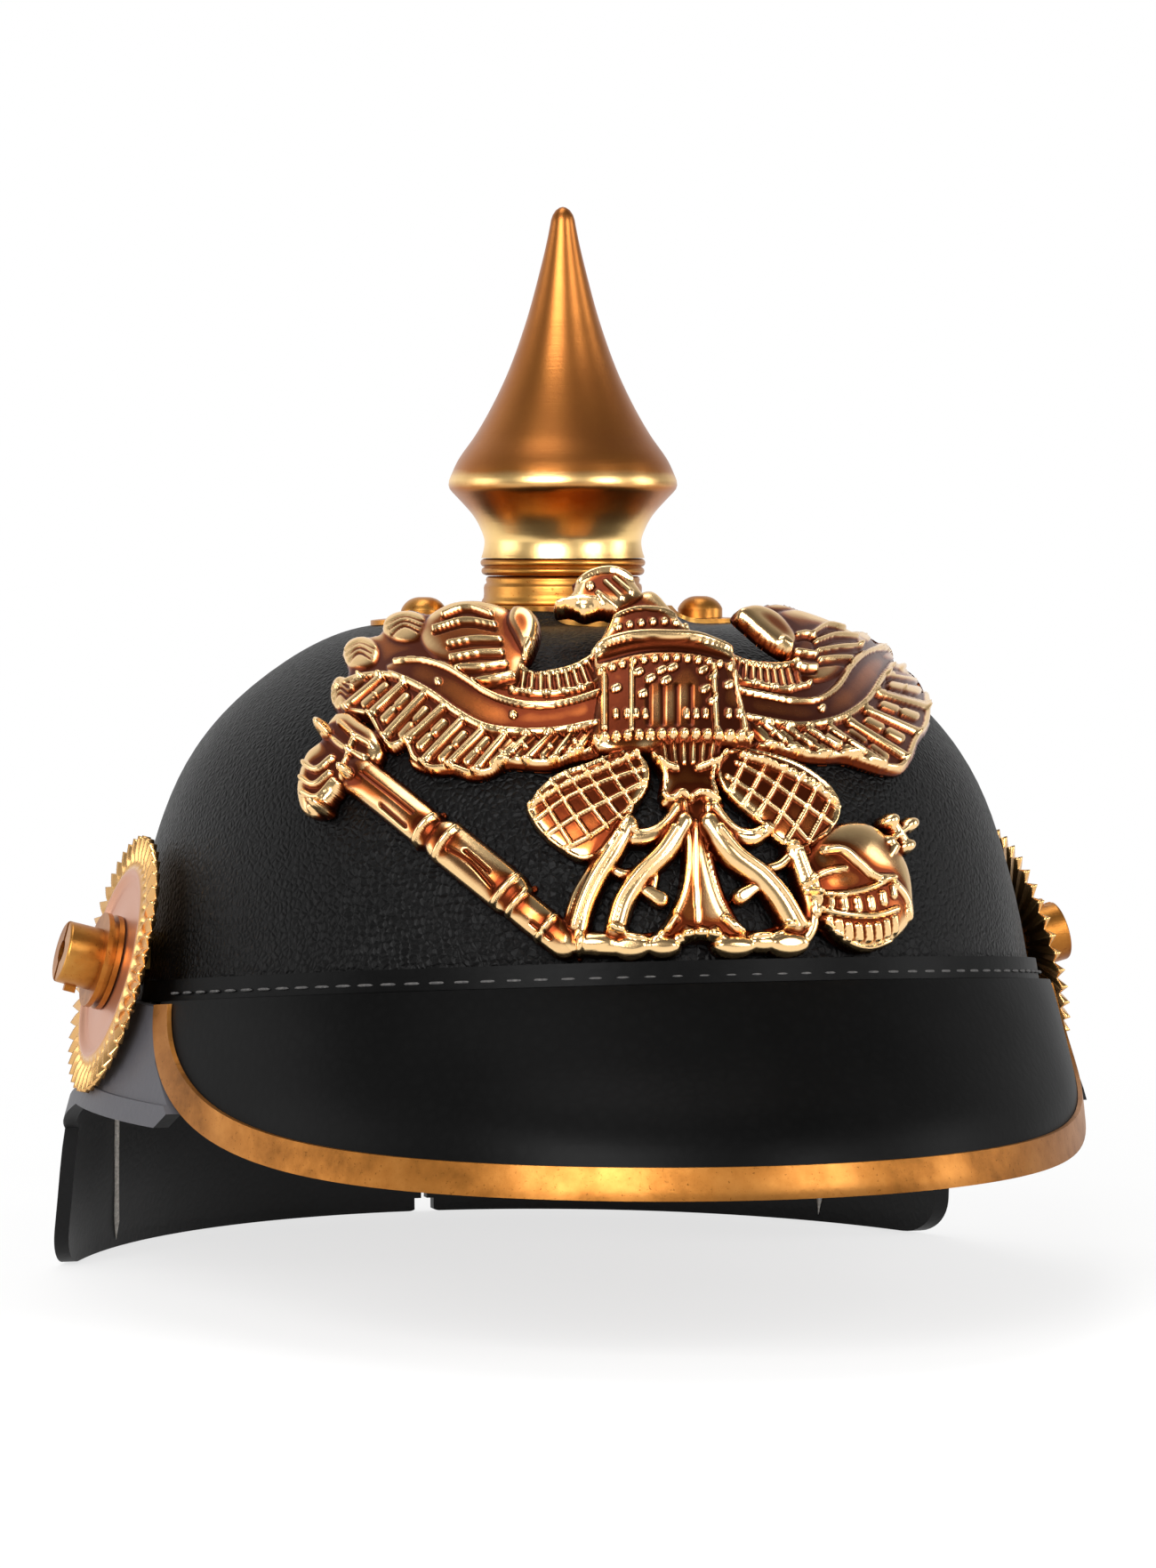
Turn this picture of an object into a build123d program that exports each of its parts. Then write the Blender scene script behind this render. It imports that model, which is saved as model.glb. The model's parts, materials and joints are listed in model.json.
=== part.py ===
from build123d import *
import math
import os

os.makedirs("parts", exist_ok=True)

# Spiked leather helmet. Millimetres, +Z up, the wearer faces -Y, +X is the wearer's left.
# The origin is on the spike's axis, level with the lowest edge of the neck guard.

# Sizes of the skull, the bowl of the helmet
skull_half_width = 97.2
skull_height = 86.8
base_height = 56.0
fore_aft_ratio = 1.17
dome_shift = 9.4
skull_wall = 2.2
dome_shares = [
    (0.206, 1.0), (0.381, 0.968), (0.549, 0.925), (0.672, 0.838), (0.759, 0.750), (0.821, 0.662),
    (0.864, 0.575), (0.907, 0.444), (0.939, 0.311), (0.961, 0.184), (1.0, 0.0),
]

# Clearances and the overrun of every cut
seat_gap = 0.1
lap_gap = 0.3
running_gap = 0.06
overrun = 5.0

# Sizes of the seam between the skull and its visor and neck guard
seam_side_height = 63.0
seam_front_height = 72.4
seam_bend_forward = 24.0
band_height = 4.4
band_wall = 1.5
band_end_forward = 20.0

# Sizes of the front visor and its trim
visor_wall = 2.2
visor_half_width = 101.6
visor_reach = 142.0
visor_edge_height = 34.8
visor_side_forward = 38.0
visor_flare_shares = [
    (1.18, 0.932, 0.776), (1.0, 0.944, 0.787), (0.756, 0.972, 0.838), (0.567, 0.984, 0.881),
    (0.405, 0.991, 0.926), (0.162, 0.998, 0.971), (-0.08, 1.007, 1.016),
]
visor_edge_shares = [
    (1.3, 0.0), (0.95, 0.0), (0.78, 0.0), (0.55, 0.03), (0.33, 0.14), (0.15, 0.37), (0.045, 0.68),
    (0.0, 1.0), (-0.02, 1.35),
]
trim_width = 6.0
trim_wall = 0.9
trim_gap = 0.1
trim_margin = 0.7

# Sizes of the neck guard
guard_wall = 2.2
guard_half_width = 111.0
guard_reach = 129.8
guard_flare_shares = [
    (1.1, 0.866, 0.866), (1.0, 0.889, 0.889), (0.889, 0.905, 0.905), (0.746, 0.93, 0.93),
    (0.571, 0.961, 0.961), (0.286, 0.987, 0.987), (0.0, 1.0, 1.0),
]
guard_hem_height = 40.0
guard_dip_height = 31.0
guard_hem_back = 0.0
guard_step_back = 36.0
guard_drop_back = 43.0
guard_corner = 11.0
guard_visor_gap = 1.5
hem_width = 4.5
hem_wall = 0.8
slit_width = 1.4
slit_height = 11.0
slit_corner = 3.0

# Sizes of the crown's cross plate and its studs
cross_reach = 42.0
cross_arm_width = 21.0
cross_disc_radius = 25.0
cross_wall = 1.0
cross_fillet = 6.0
stud_place = 30.7
stud_radius = 4.8
stud_dome = 2.6
stud_skirt = 0.9
stud_shank = 1.6
stud_tail = 5.0
nut_wall = 1.9
nut_thickness = 1.8

# Sizes of the spike and what holds it
collar_radius = 16.9
collar_height = 6.2
collar_step = 0.5
collar_wall = 1.6
ring_radius = 17.5
ring_bore = 12.6
ring_height = 3.8
ring_round_share = 0.45
spike_rim_radius = 24.4
spike_height = 74.7
spike_tip_flat = 0.7
spike_wall = 1.2
spike_cavity_share = 0.62
spike_lower_shares = [(0.676, 0.0), (0.688, 0.044), (0.725, 0.082), (0.783, 0.12), (0.893, 0.159)]
spike_rim_shares = [(0.975, 0.192), (1.0, 0.211), (0.985, 0.23)]
spike_upper_shares = [
    (0.93, 0.273), (0.766, 0.35), (0.516, 0.502), (0.34, 0.655), (0.209, 0.808), (0.107, 0.96),
]
stud_thread_radius = 4.0
stud_flange_radius = 9.0
stud_flange_height = 1.4
stud_engagement = 9.0
hub_height = 11.0
spike_nut_flats = 14.0
spike_nut_thickness = 5.0
spike_washer_radius = 12.5
spike_washer_thickness = 2.4
spike_tail = 1.5

# Sizes of the side discs and posts
post_forward = 8.0
post_height = 69.5
post_out = 98.5
post_tilt = 15.0
disc_radius = 27.5
disc_teeth = 44
disc_tooth_depth = 1.7
disc_wall = 1.2
disc_step = 0.6
disc_step_radius = 19.0
pad_radius = 9.0
post_shank_radius = 3.0
post_radius = 6.5
post_length = 7.2
post_collar_radius = 10.0
post_collar_waist = 8.6
post_collar_ridge = 1.1
post_bore_radius = 2.4
post_bore_depth = 5.0
post_slot_width = 1.6
post_slot_depth = 2.0
lug_length = 2.4
lug_width = 1.4
lug_height = 1.3
post_nut_thickness = 2.6

# Sizes of the leather liner
sweatband_inset = 7.6
liner_inset = 11.0
sweatband_top = 97.0
sweatband_wall = 1.4
sweatband_hem = 2.0
sweatband_foot = 1.0
sweatband_clearance = 1.0
tongue_count = 12
tongue_wall = 1.2
tongue_gap = 5.0
tongue_hole_radius = 26.0

# Sizes of the back spine and its ventilator
spine_width = 12.0
spine_wall = 1.0
spine_foot_height = 17.0
vent_height = 104.0
vent_width = 17.0
vent_floor = 0.8
vent_side = 2.2
vent_lip = 1.0
vent_stop = 1.8
vent_hole_radius = 2.6
slide_length = 13.0
slide_wall = 1.0
slide_travel = 12.0
slide_knob_radius = 2.6
slide_knob_height = 2.4
screw_high_height = 137.4
screw_low_height = 24.0
screw_radius = 2.8
screw_head = 1.6
screw_taper = 20
screw_shank = 1.2
screw_tail = 4.0

# Sizes of the front plate, a stamped eagle
plate_wall = 1.3
plate_lean = 0.13
plate_lean_height = 128.0
wing_half_span = 58.0
eagle_height = 62.0
eagle_foot = 77.0
plate_head_height = 148.0
plate_foot_share = 0.1
plate_bend_share = 0.76
plate_stand_share = 1.2
wing_shares = [
    (0.19, 0.88), (0.38, 0.885), (0.46, 0.92), (0.5, 0.99), (0.66, 1.0), (0.83, 0.96), (0.97, 0.86),
    (1.05, 0.76), (1.02, 0.66), (0.9, 0.6), (0.74, 0.575), (0.57, 0.575), (0.4, 0.6), (0.19, 0.65),
]
body_shares = [(0.0, 1.03), (0.11, 1.02), (0.15, 0.94), (0.26, 0.88), (0.26, 0.64), (0.12, 0.55), (0.0, 0.5)]
leg_shares = [
    (0.08, 0.56), (0.2, 0.62), (0.38, 0.6), (0.53, 0.46), (0.49, 0.34), (0.36, 0.3), (0.24, 0.36),
    (0.1, 0.52),
]
tail_shares = [(0.0, 0.56), (0.07, 0.54), (0.24, 0.34), (0.42, 0.1), (0.43, 0.0), (0.0, 0.0)]
tail_gap_shares = [[(0.09, 0.32), (0.17, 0.27), (0.13, 0.12)], [(0.24, 0.26), (0.32, 0.13), (0.22, 0.1)]]
head_shares = [
    (-0.1, 1.0), (-0.3, 1.03), (-0.36, 1.07), (-0.28, 1.1), (-0.22, 1.14), (-0.05, 1.14), (0.06, 1.0),
]
feather_shares = [
    (0.24, 0.64), (0.36, 0.605), (0.49, 0.58), (0.62, 0.565), (0.75, 0.57), (0.87, 0.595), (0.97, 0.64),
    (1.03, 0.71),
]
lobe_shares = [(0.56, 0.97), (0.72, 0.98), (0.87, 0.92), (0.98, 0.83)]
feather_radius = 4.2
lobe_radius = 5.6
orb_radius = 11.8
orb_place = (27.5, 88.5)
orb_cross = 5.4
orb_cross_shares = (0.75, 1.05)
orb_cross_turn = -35
sceptre_foot = (-30.0, 80.5)
sceptre_head = (-65.0, 112.0)
sceptre_width = 7.0
sceptre_bulb = 6.6
loop_turn = 32.0
loop_height = 112.0
loop_width = 5.0
loop_wall = 1.4
key_radius = 1.3
key_length = 15.0

# Places worked out from the sizes above
crown_height = base_height + skull_height
plate_top = crown_height + seat_gap + cross_wall
collar_top = plate_top + collar_height
spike_base = collar_top + ring_height
arc_share = math.sqrt(1 / 2)
full_reach = guard_half_width + visor_reach
side_plane = Plane(origin=(full_reach, 0, 0), x_dir=(0, -1, 0), z_dir=(-1, 0, 0))


def dome_half_width(height, grow=0):
    """Half width of the grown bowl at a height, straight between the shares."""
    share = (height - base_height) / (skull_height + grow)
    for (upper_w, upper_h), (lower_w, lower_h) in zip(dome_shares, dome_shares[1:]):
        if share >= lower_h:
            between_share = (share - lower_h) / (upper_h - lower_h)
            return (skull_half_width + grow) * (lower_w + (upper_w - lower_w) * between_share)
    return skull_half_width + grow


def dome_height(half_width):
    """Height of the bowl where it has a half width, straight between the shares."""
    share = half_width / skull_half_width
    if share < dome_shares[0][0]:
        return crown_height
    for (upper_w, upper_h), (lower_w, lower_h) in zip(dome_shares, dome_shares[1:]):
        if share <= lower_w:
            between_share = (share - upper_w) / (lower_w - upper_w)
            return base_height + skull_height * (upper_h + (lower_h - upper_h) * between_share)
    return base_height


def guard_rear(height):
    """Distance behind the spike's axis of the neck guard's outer face, straight between the shares."""
    share = height / seam_side_height
    for (upper_h, _, upper_r), (lower_h, _, lower_r) in zip(guard_flare_shares, guard_flare_shares[1:]):
        if share >= lower_h:
            between_share = (share - lower_h) / (upper_h - lower_h)
            return guard_reach * (lower_r + (upper_r - lower_r) * between_share) - dome_shift
    return guard_reach - dome_shift


def dome_plane(turn, height, lift):
    """Plane that touches the skull, turned from the front towards +X and lifted off the leather."""
    near = dome_half_width(height)
    slope = (dome_half_width(height + overrun) - dome_half_width(height - overrun)) / (2 * overrun)
    across = math.sin(math.radians(turn))
    along = math.cos(math.radians(turn))
    normal = Vector(across, -along / fore_aft_ratio, -slope).normalized()
    touch = Vector(near * across, -dome_shift - fore_aft_ratio * near * along, height)
    return Plane(origin=touch + normal * lift, x_dir=(-normal.Y, normal.X, 0), z_dir=normal)


def dome_form(grow):
    """Solid bowl grown by a length, lofted through level ellipses up to a flat crown."""
    with BuildPart() as form:
        for width_share, height_share in dome_shares:
            half_width = (skull_half_width + grow) * width_share
            with BuildSketch(Plane.XY.offset(base_height + (skull_height + grow) * height_share)):
                with Locations((0, -dome_shift)):
                    Ellipse(half_width, fore_aft_ratio * half_width)
        loft()
    return form.part


def plate_form(grow):
    """Solid behind the front plate: the bowl, going on upwards where the plate leaves the crown."""
    low = [
        (skull_half_width * w, base_height + skull_height * h)
        for w, h in dome_shares
        if plate_foot_share < h < plate_bend_share
    ]
    steep = (low[1][0] - low[0][0]) / (low[1][1] - low[0][1]) * plate_stand_share
    top = (low[0][0] + steep * (plate_head_height - low[0][1]), plate_head_height)
    middle = ((top[0] + low[0][0]) / 2, (top[1] + low[0][1]) / 2)
    with BuildPart() as form:
        for half_width, height in [top, middle] + low:
            with BuildSketch(Plane.XY.offset(height)):
                with Locations((0, -dome_shift)):
                    Ellipse(half_width + grow, fore_aft_ratio * half_width + grow)
        loft()
    return form.part


def flared_form(flare_shares, top_height, half_width, reach, grow):
    """Solid skirt lofted through ellipses; each share is (height, half width, half length)."""
    with BuildPart() as form:
        for height_share, width_share, reach_share in flare_shares:
            with BuildSketch(Plane.XY.offset(top_height * height_share)):
                with Locations((0, -dome_shift)):
                    Ellipse(half_width * width_share + grow, reach * reach_share + grow)
        loft()
    return form.part


def visor_form(grow):
    """Solid inside the visor's outer face, grown by a length."""
    rise = seam_front_height - visor_edge_height
    return Pos(0, 0, visor_edge_height) * flared_form(
        visor_flare_shares, rise, visor_half_width, visor_reach, grow
    )


def guard_form(grow):
    """Solid inside the neck guard's outer face, grown by a length."""
    return flared_form(guard_flare_shares, seam_side_height, guard_half_width, guard_reach, grow)


def seam_points(lift):
    """Seam line in side view, back to front: level to the visor's rear ends, then rising."""
    front_forward = dome_shift + fore_aft_ratio * dome_half_width(seam_front_height)
    rise = (seam_front_height - seam_side_height) / (front_forward - seam_bend_forward)
    far = front_forward + visor_reach / 2
    return [
        (-full_reach, seam_side_height + lift),
        (seam_bend_forward, seam_side_height + lift),
        (far, seam_side_height + rise * (far - seam_bend_forward) + lift),
    ]


def visor_edge_points(shift):
    """Visor's free edge in side view, front to back, moved away from the visor by a length."""
    run = dome_shift + visor_reach - visor_side_forward
    rise = seam_side_height - visor_edge_height
    points = [(visor_side_forward + run * f, visor_edge_height + rise * h) for f, h in visor_edge_shares]
    moved = []
    for index, (forward, height) in enumerate(points):
        before = points[max(index - 1, 0)]
        after = points[min(index + 1, len(points) - 1)]
        step = math.hypot(after[0] - before[0], after[1] - before[1])
        moved.append(
            (
                forward - shift * (after[1] - before[1]) / step,
                height + shift * (after[0] - before[0]) / step,
            )
        )
    return moved


def visor_side_sketch(edge_shift, seam_lift):
    """Side outline of the visor, flat: above its free edge and below the seam."""
    edge = visor_edge_points(edge_shift)
    seam = seam_points(seam_lift)
    with BuildSketch() as outline:
        with BuildLine():
            Spline(edge)
            Line(edge[-1], (edge[-1][0], seam[2][1]))
            Line((edge[-1][0], seam[2][1]), (edge[0][0], seam[2][1]))
            Line((edge[0][0], seam[2][1]), edge[0])
        make_face()
        with BuildLine():
            Polyline(*seam, (seam[2][0], seam[2][1] * 2), (seam[0][0], seam[2][1] * 2), close=True)
        make_face(mode=Mode.SUBTRACT)
    return outline.sketch


def between(outer, inner):
    """Layer between two solids, one inside the other."""
    with BuildPart() as layer:
        add(outer)
        add(inner, mode=Mode.SUBTRACT)
    return layer.part


# Planes of the fasteners that pass through the leather, with their outward axes
side_planes = {
    side: Plane(
        origin=(sign * post_out, -post_forward, post_height),
        x_dir=(0, 1, 0),
        z_dir=(sign * math.cos(math.radians(post_tilt)), 0, math.sin(math.radians(post_tilt))),
    )
    for side, sign in (("left", 1), ("right", -1))
}
loop_planes = [dome_plane(turn, loop_height, 0) for turn in (-loop_turn, loop_turn)]
vent_plane = dome_plane(180, vent_height, seat_gap + spine_wall)
guard_lean = math.atan2(
    guard_rear(screw_low_height - overrun) - guard_rear(screw_low_height + overrun), 2 * overrun
)
screw_planes = [
    dome_plane(180, screw_high_height, spine_wall + 2 * seat_gap),
    Plane(
        origin=(0, guard_rear(screw_low_height) + spine_wall + 2 * seat_gap, screw_low_height),
        x_dir=(-1, 0, 0),
        z_dir=(0, math.cos(guard_lean), math.sin(guard_lean)),
    ),
]

# Skull: the leather bowl, open below, with a hole for every fastener and the ventilator
with BuildPart() as skull:
    add(dome_form(0))
    add(dome_form(-skull_wall), mode=Mode.SUBTRACT)
    with BuildSketch(Plane.XY.offset(crown_height - skull_height / 2)):
        Circle(stud_thread_radius + running_gap)
        with PolarLocations(stud_place, 4):
            Circle(stud_shank + seat_gap)
    extrude(amount=skull_height, mode=Mode.SUBTRACT)
    for plane in side_planes.values():
        with BuildSketch(plane):
            Circle(post_shank_radius + seat_gap)
        extrude(amount=-2 * pad_radius, mode=Mode.SUBTRACT)
    for plane in loop_planes:
        with BuildSketch(plane.offset(overrun)):
            Rectangle(loop_width + 2 * seat_gap, loop_wall + 2 * seat_gap)
        extrude(amount=-3 * overrun, mode=Mode.SUBTRACT)
    with BuildSketch(vent_plane.offset(overrun)):
        with Locations((0, -slide_travel / 2)):
            Circle(vent_hole_radius)
    extrude(amount=-3 * overrun, mode=Mode.SUBTRACT)
    with BuildSketch(screw_planes[0].offset(overrun)):
        Circle(screw_shank + seat_gap)
    extrude(amount=-3 * overrun, mode=Mode.SUBTRACT)
skull.part.label = "skull"
export_step(skull.part, "parts/skull.step")

# Seam band: the smooth strip that covers the top edge of the visor
with BuildPart() as seam_band:
    add(between(dome_form(lap_gap + band_wall), dome_form(lap_gap)))
    low = seam_points(0)
    high = seam_points(band_height)
    with BuildSketch(side_plane):
        with BuildLine():
            Polyline(
                (band_end_forward, low[0][1]),
                *low[1:],
                *reversed(high[1:]),
                (band_end_forward, high[0][1]),
                close=True,
            )
        make_face()
    extrude(amount=2 * full_reach, mode=Mode.INTERSECT)
seam_band.part.label = "seam_band"
export_step(seam_band.part, "parts/seam_band.step")

# Front visor: the flared peak, lapped over the skull below the seam
with BuildPart() as front_visor:
    add(between(visor_form(0), visor_form(-visor_wall)))
    with BuildSketch(side_plane):
        add(visor_side_sketch(0, -seat_gap))
    extrude(amount=2 * full_reach, mode=Mode.INTERSECT)
front_visor.part.label = "front_visor"
export_step(front_visor.part, "parts/front_visor.step")

# Visor trim: a channel folded round the visor's free edge
with BuildPart() as trim_core:
    add(between(visor_form(trim_gap), visor_form(-visor_wall - trim_gap)))
    with BuildSketch(side_plane):
        add(visor_side_sketch(trim_gap, 0))
    extrude(amount=2 * full_reach, mode=Mode.INTERSECT)
with BuildPart() as visor_trim:
    add(between(visor_form(trim_gap + trim_wall), visor_form(-visor_wall - trim_gap - trim_wall)))
    with BuildSketch(side_plane):
        add(visor_side_sketch(trim_gap + trim_wall, -trim_margin))
        add(visor_side_sketch(trim_wall - trim_width, 0), mode=Mode.SUBTRACT)
    extrude(amount=2 * full_reach, mode=Mode.INTERSECT)
    add(trim_core.part, mode=Mode.SUBTRACT)
visor_trim.part.label = "visor_trim"
export_step(visor_trim.part, "parts/visor_trim.step")


def guard_side_sketch(inset):
    """Side outline of the neck guard, flat, drawn in from its free edges by a length."""
    seam = seam_points(-seat_gap)
    front = visor_edge_points(trim_gap + trim_wall + guard_visor_gap + inset)
    front = [point for point in front if point[1] > guard_hem_height + inset]
    hem_forward = front[0][0] - (front[0][1] - guard_hem_height - inset)
    with BuildSketch() as outline:
        with BuildLine():
            Polyline(
                (seam[0][0], seam[0][1]),
                (front[-1][0], seam[0][1]),
                *[point for point in reversed(front) if point[1] < seam[0][1]],
                (hem_forward, guard_hem_height + inset),
                (-guard_hem_back, guard_hem_height + inset),
                (-guard_step_back - inset, guard_dip_height + inset),
                (-guard_drop_back - inset, inset),
                (seam[0][0], inset),
                close=True,
            )
        make_face()
        fillet(outline.vertices().sort_by_distance((-guard_drop_back - inset, inset))[0], guard_corner)
    return outline.sketch


# Neck guard: the flared rear skirt with a thicker hem and a slit at the back
with BuildPart() as guard_relief:
    add(between(guard_form(hem_wall + overrun), guard_form(0)))
    with BuildSketch(side_plane):
        add(guard_side_sketch(hem_width))
        with Locations((0, seam_side_height)):
            Rectangle(2 * full_reach, 2 * (seam_side_height - guard_hem_height - hem_width))
    extrude(amount=2 * full_reach, mode=Mode.INTERSECT)
with BuildPart() as neck_guard:
    add(between(guard_form(hem_wall), guard_form(-guard_wall)))
    with BuildSketch(side_plane):
        add(guard_side_sketch(0))
    extrude(amount=2 * full_reach, mode=Mode.INTERSECT)
    add(guard_relief.part, mode=Mode.SUBTRACT)
    with BuildSketch(Plane.XZ):
        Rectangle(slit_width, 2 * slit_height)
    extrude(amount=-full_reach, mode=Mode.SUBTRACT)
    for corner_sign in (1, -1):
        with BuildSketch(Plane.XZ):
            with Locations((corner_sign * slit_width / 2, 0)):
                Rectangle(2 * slit_corner, 2 * slit_corner)
            with Locations((corner_sign * (slit_width / 2 + slit_corner), slit_corner)):
                Circle(slit_corner, mode=Mode.SUBTRACT)
        extrude(amount=-full_reach, mode=Mode.SUBTRACT)
    with BuildSketch(screw_planes[1].offset(overrun)):
        Circle(screw_shank + seat_gap)
    extrude(amount=-3 * overrun, mode=Mode.SUBTRACT)
    for plane in side_planes.values():
        with BuildSketch(plane):
            Circle(post_shank_radius + seat_gap)
        extrude(amount=-2 * pad_radius, mode=Mode.SUBTRACT)
neck_guard.part.label = "neck_guard"
export_step(neck_guard.part, "parts/neck_guard.step")


# Cross plate: four round-ended arms on the crown
with BuildPart() as cross_plate:
    add(between(dome_form(seat_gap + cross_wall), dome_form(seat_gap)))
    with BuildSketch(Plane.XY.offset(base_height)) as cross_outline:
        Circle(cross_disc_radius)
        with PolarLocations(0, 2, angular_range=180):
            SlotOverall(2 * cross_reach, cross_arm_width)
        corners = cross_outline.vertices().filter_by(
            lambda v: abs(math.hypot(v.X, v.Y) - cross_disc_radius) < seat_gap
        )
        fillet(corners, cross_fillet)
        Circle(stud_thread_radius + running_gap, mode=Mode.SUBTRACT)
        with PolarLocations(stud_place, 4):
            Circle(stud_shank + seat_gap, mode=Mode.SUBTRACT)
    extrude(amount=2 * skull_height, mode=Mode.INTERSECT)
cross_plate.part.label = "cross_plate"
export_step(cross_plate.part, "parts/cross_plate.step")

# Crown studs: a domed head on a shank through each arm, and a nut inside the crown
stud_places = {
    "front": (0, -stud_place),
    "rear": (0, stud_place),
    "left": (stud_place, 0),
    "right": (-stud_place, 0),
}
stud_seat = dome_form(2 * seat_gap + cross_wall)
for place, (stud_x, stud_y) in stud_places.items():
    stud_foot = dome_height(math.hypot(stud_x, (stud_y + dome_shift) / fore_aft_ratio)) + cross_wall
    head_side = stud_foot + 2 * seat_gap + stud_skirt
    with BuildPart() as crown_stud:
        with BuildSketch(Plane(origin=(stud_x, stud_y, head_side), x_dir=(1, 0, 0), z_dir=(0, -1, 0))):
            with BuildLine():
                Line((0, -stud_tail), (0, stud_dome))
                ThreePointArc(
                    (0, stud_dome), (stud_radius * arc_share, stud_dome * arc_share), (stud_radius, 0)
                )
                Polyline((stud_radius, 0), (stud_radius, -stud_tail), (0, -stud_tail))
            make_face()
        revolve(axis=Axis((stud_x, stud_y, 0), (0, 0, 1)))
        add(stud_seat, mode=Mode.SUBTRACT)
        with BuildSketch(Plane.XY.offset(head_side - stud_tail - skull_wall)):
            with Locations((stud_x, stud_y)):
                Circle(stud_shank)
        extrude(amount=stud_tail + skull_wall)
    crown_stud.part.label = f"crown_stud_{place}"
    export_step(crown_stud.part, f"parts/crown_stud_{place}.step")

with BuildPart() as crown_stud_nuts:
    nut_top = dome_form(-skull_wall - seat_gap)
    add(between(nut_top, Pos(0, 0, -nut_thickness) * nut_top))
    with BuildSketch(Plane.XY.offset(crown_height - stud_place)):
        with PolarLocations(stud_place, 4):
            RegularPolygon(stud_shank + nut_wall, 6)
            Circle(stud_shank + running_gap, mode=Mode.SUBTRACT)
    extrude(amount=stud_place, mode=Mode.INTERSECT)
crown_stud_nuts.part.label = "crown_stud_nuts"
export_step(crown_stud_nuts.part, "parts/crown_stud_nuts.step")

# Spike collar: a spun, stepped cup that stands on the cross plate
with BuildPart() as spike_collar:
    with BuildSketch(Plane.XY.offset(plate_top)):
        Circle(collar_radius + collar_step)
    extrude(amount=collar_wall)
    with BuildSketch(Plane.XY.offset(plate_top + collar_wall)):
        Circle(collar_radius)
    extrude(amount=collar_height - 2 * collar_wall)
    with BuildSketch(Plane.XY.offset(collar_top - collar_wall)):
        Circle(collar_radius - collar_step)
    extrude(amount=collar_wall)
    with BuildSketch(Plane.XY.offset(plate_top)):
        Circle(collar_radius - 2 * collar_wall)
    extrude(amount=collar_height - collar_wall, mode=Mode.SUBTRACT)
    with BuildSketch(Plane.XY.offset(plate_top)):
        Circle(stud_thread_radius + running_gap)
    extrude(amount=collar_height, mode=Mode.SUBTRACT)
spike_collar.part.label = "spike_collar"
export_step(spike_collar.part, "parts/spike_collar.step")

# Spike ring: a rolled ring, loose between the collar and the spike
with BuildPart() as spike_ring:
    with BuildSketch(Plane.XY.offset(collar_top)):
        Circle(ring_radius)
        Circle(ring_bore, mode=Mode.SUBTRACT)
    extrude(amount=ring_height)
    ring_rims = spike_ring.edges().filter_by(GeomType.CIRCLE).sort_by(SortBy.RADIUS)[-2:]
    fillet(ring_rims, ring_height * ring_round_share)
spike_ring.part.label = "spike_ring"
export_step(spike_ring.part, "parts/spike_ring.step")


def spike_points(shares, wall):
    """Points of the spike's profile from shares of its rim radius and its height."""
    return [(spike_rim_radius * r - wall, spike_base + spike_height * h) for r, h in shares]


# Spike shell: spun hollow, waisted below its rim and drawn to a point
with BuildPart() as spike_shell:
    with BuildSketch(Plane.XZ):
        with BuildLine():
            tip = (spike_tip_flat, spike_base + spike_height)
            lower = spike_points(spike_lower_shares, 0)
            rim = spike_points(spike_rim_shares, 0)
            upper = spike_points(spike_upper_shares, 0)
            Line((0, spike_base), lower[0])
            Spline(lower + [rim[0]])
            ThreePointArc(rim[0], rim[1], rim[2])
            Spline([rim[2]] + upper)
            ThreePointArc(
                upper[-1],
                (upper[-1][0] * arc_share, upper[-1][1] + (tip[1] - upper[-1][1]) * arc_share),
                tip,
            )
            Polyline(tip, (0, tip[1]), (0, spike_base))
        make_face()
        with BuildLine():
            hollow_shares = [pair for pair in spike_upper_shares if pair[1] < spike_cavity_share]
            lower = spike_points(spike_lower_shares, spike_wall)
            rim = spike_points(spike_rim_shares, spike_wall)
            upper = spike_points(hollow_shares, spike_wall)
            Line((0, spike_base), lower[0])
            Spline(lower + [rim[0]])
            ThreePointArc(rim[0], rim[1], rim[2])
            Spline([rim[2]] + upper)
            Polyline(upper[-1], (0, upper[-1][1]), (0, spike_base))
        make_face(mode=Mode.SUBTRACT)
    revolve(axis=Axis.Z)
spike_shell.part.label = "spike_shell"
export_step(spike_shell.part, "parts/spike_shell.step")

# Spike hub: the bored plug, soldered into the waist of the spike, that turns on the stud
with BuildPart() as spike_hub:
    with BuildSketch(Plane.XY.offset(spike_base)):
        Circle(spike_rim_radius * spike_lower_shares[0][0] - spike_wall - seat_gap)
        Circle(stud_thread_radius + running_gap, mode=Mode.SUBTRACT)
    extrude(amount=hub_height)
spike_hub.part.label = "spike_hub"
export_step(spike_hub.part, "parts/spike_hub.step")

# Spike stud: the threaded post, with a flange that clamps the collar to the crown
washer_top = crown_height - skull_wall - seat_gap
thread_foot = washer_top - spike_washer_thickness - spike_nut_thickness - seat_gap - spike_tail
with BuildPart() as spike_stud:
    with BuildSketch(Plane.XY.offset(thread_foot)):
        Circle(stud_thread_radius)
    extrude(amount=spike_base + stud_engagement - thread_foot)
    chamfer(spike_stud.edges().filter_by(GeomType.CIRCLE), stud_thread_radius / 8)
    with BuildSketch(Plane.XY.offset(collar_top)):
        Circle(stud_flange_radius)
    extrude(amount=stud_flange_height)
spike_stud.part.label = "spike_stud"
export_step(spike_stud.part, "parts/spike_stud.step")

# Spike washer and nut: they hold the stud from inside the crown
with BuildPart() as spike_washer:
    with BuildSketch(Plane.XY.offset(washer_top - spike_washer_thickness)):
        Circle(spike_washer_radius)
        Circle(stud_thread_radius + running_gap, mode=Mode.SUBTRACT)
    extrude(amount=spike_washer_thickness)
spike_washer.part.label = "spike_washer"
export_step(spike_washer.part, "parts/spike_washer.step")

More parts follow.
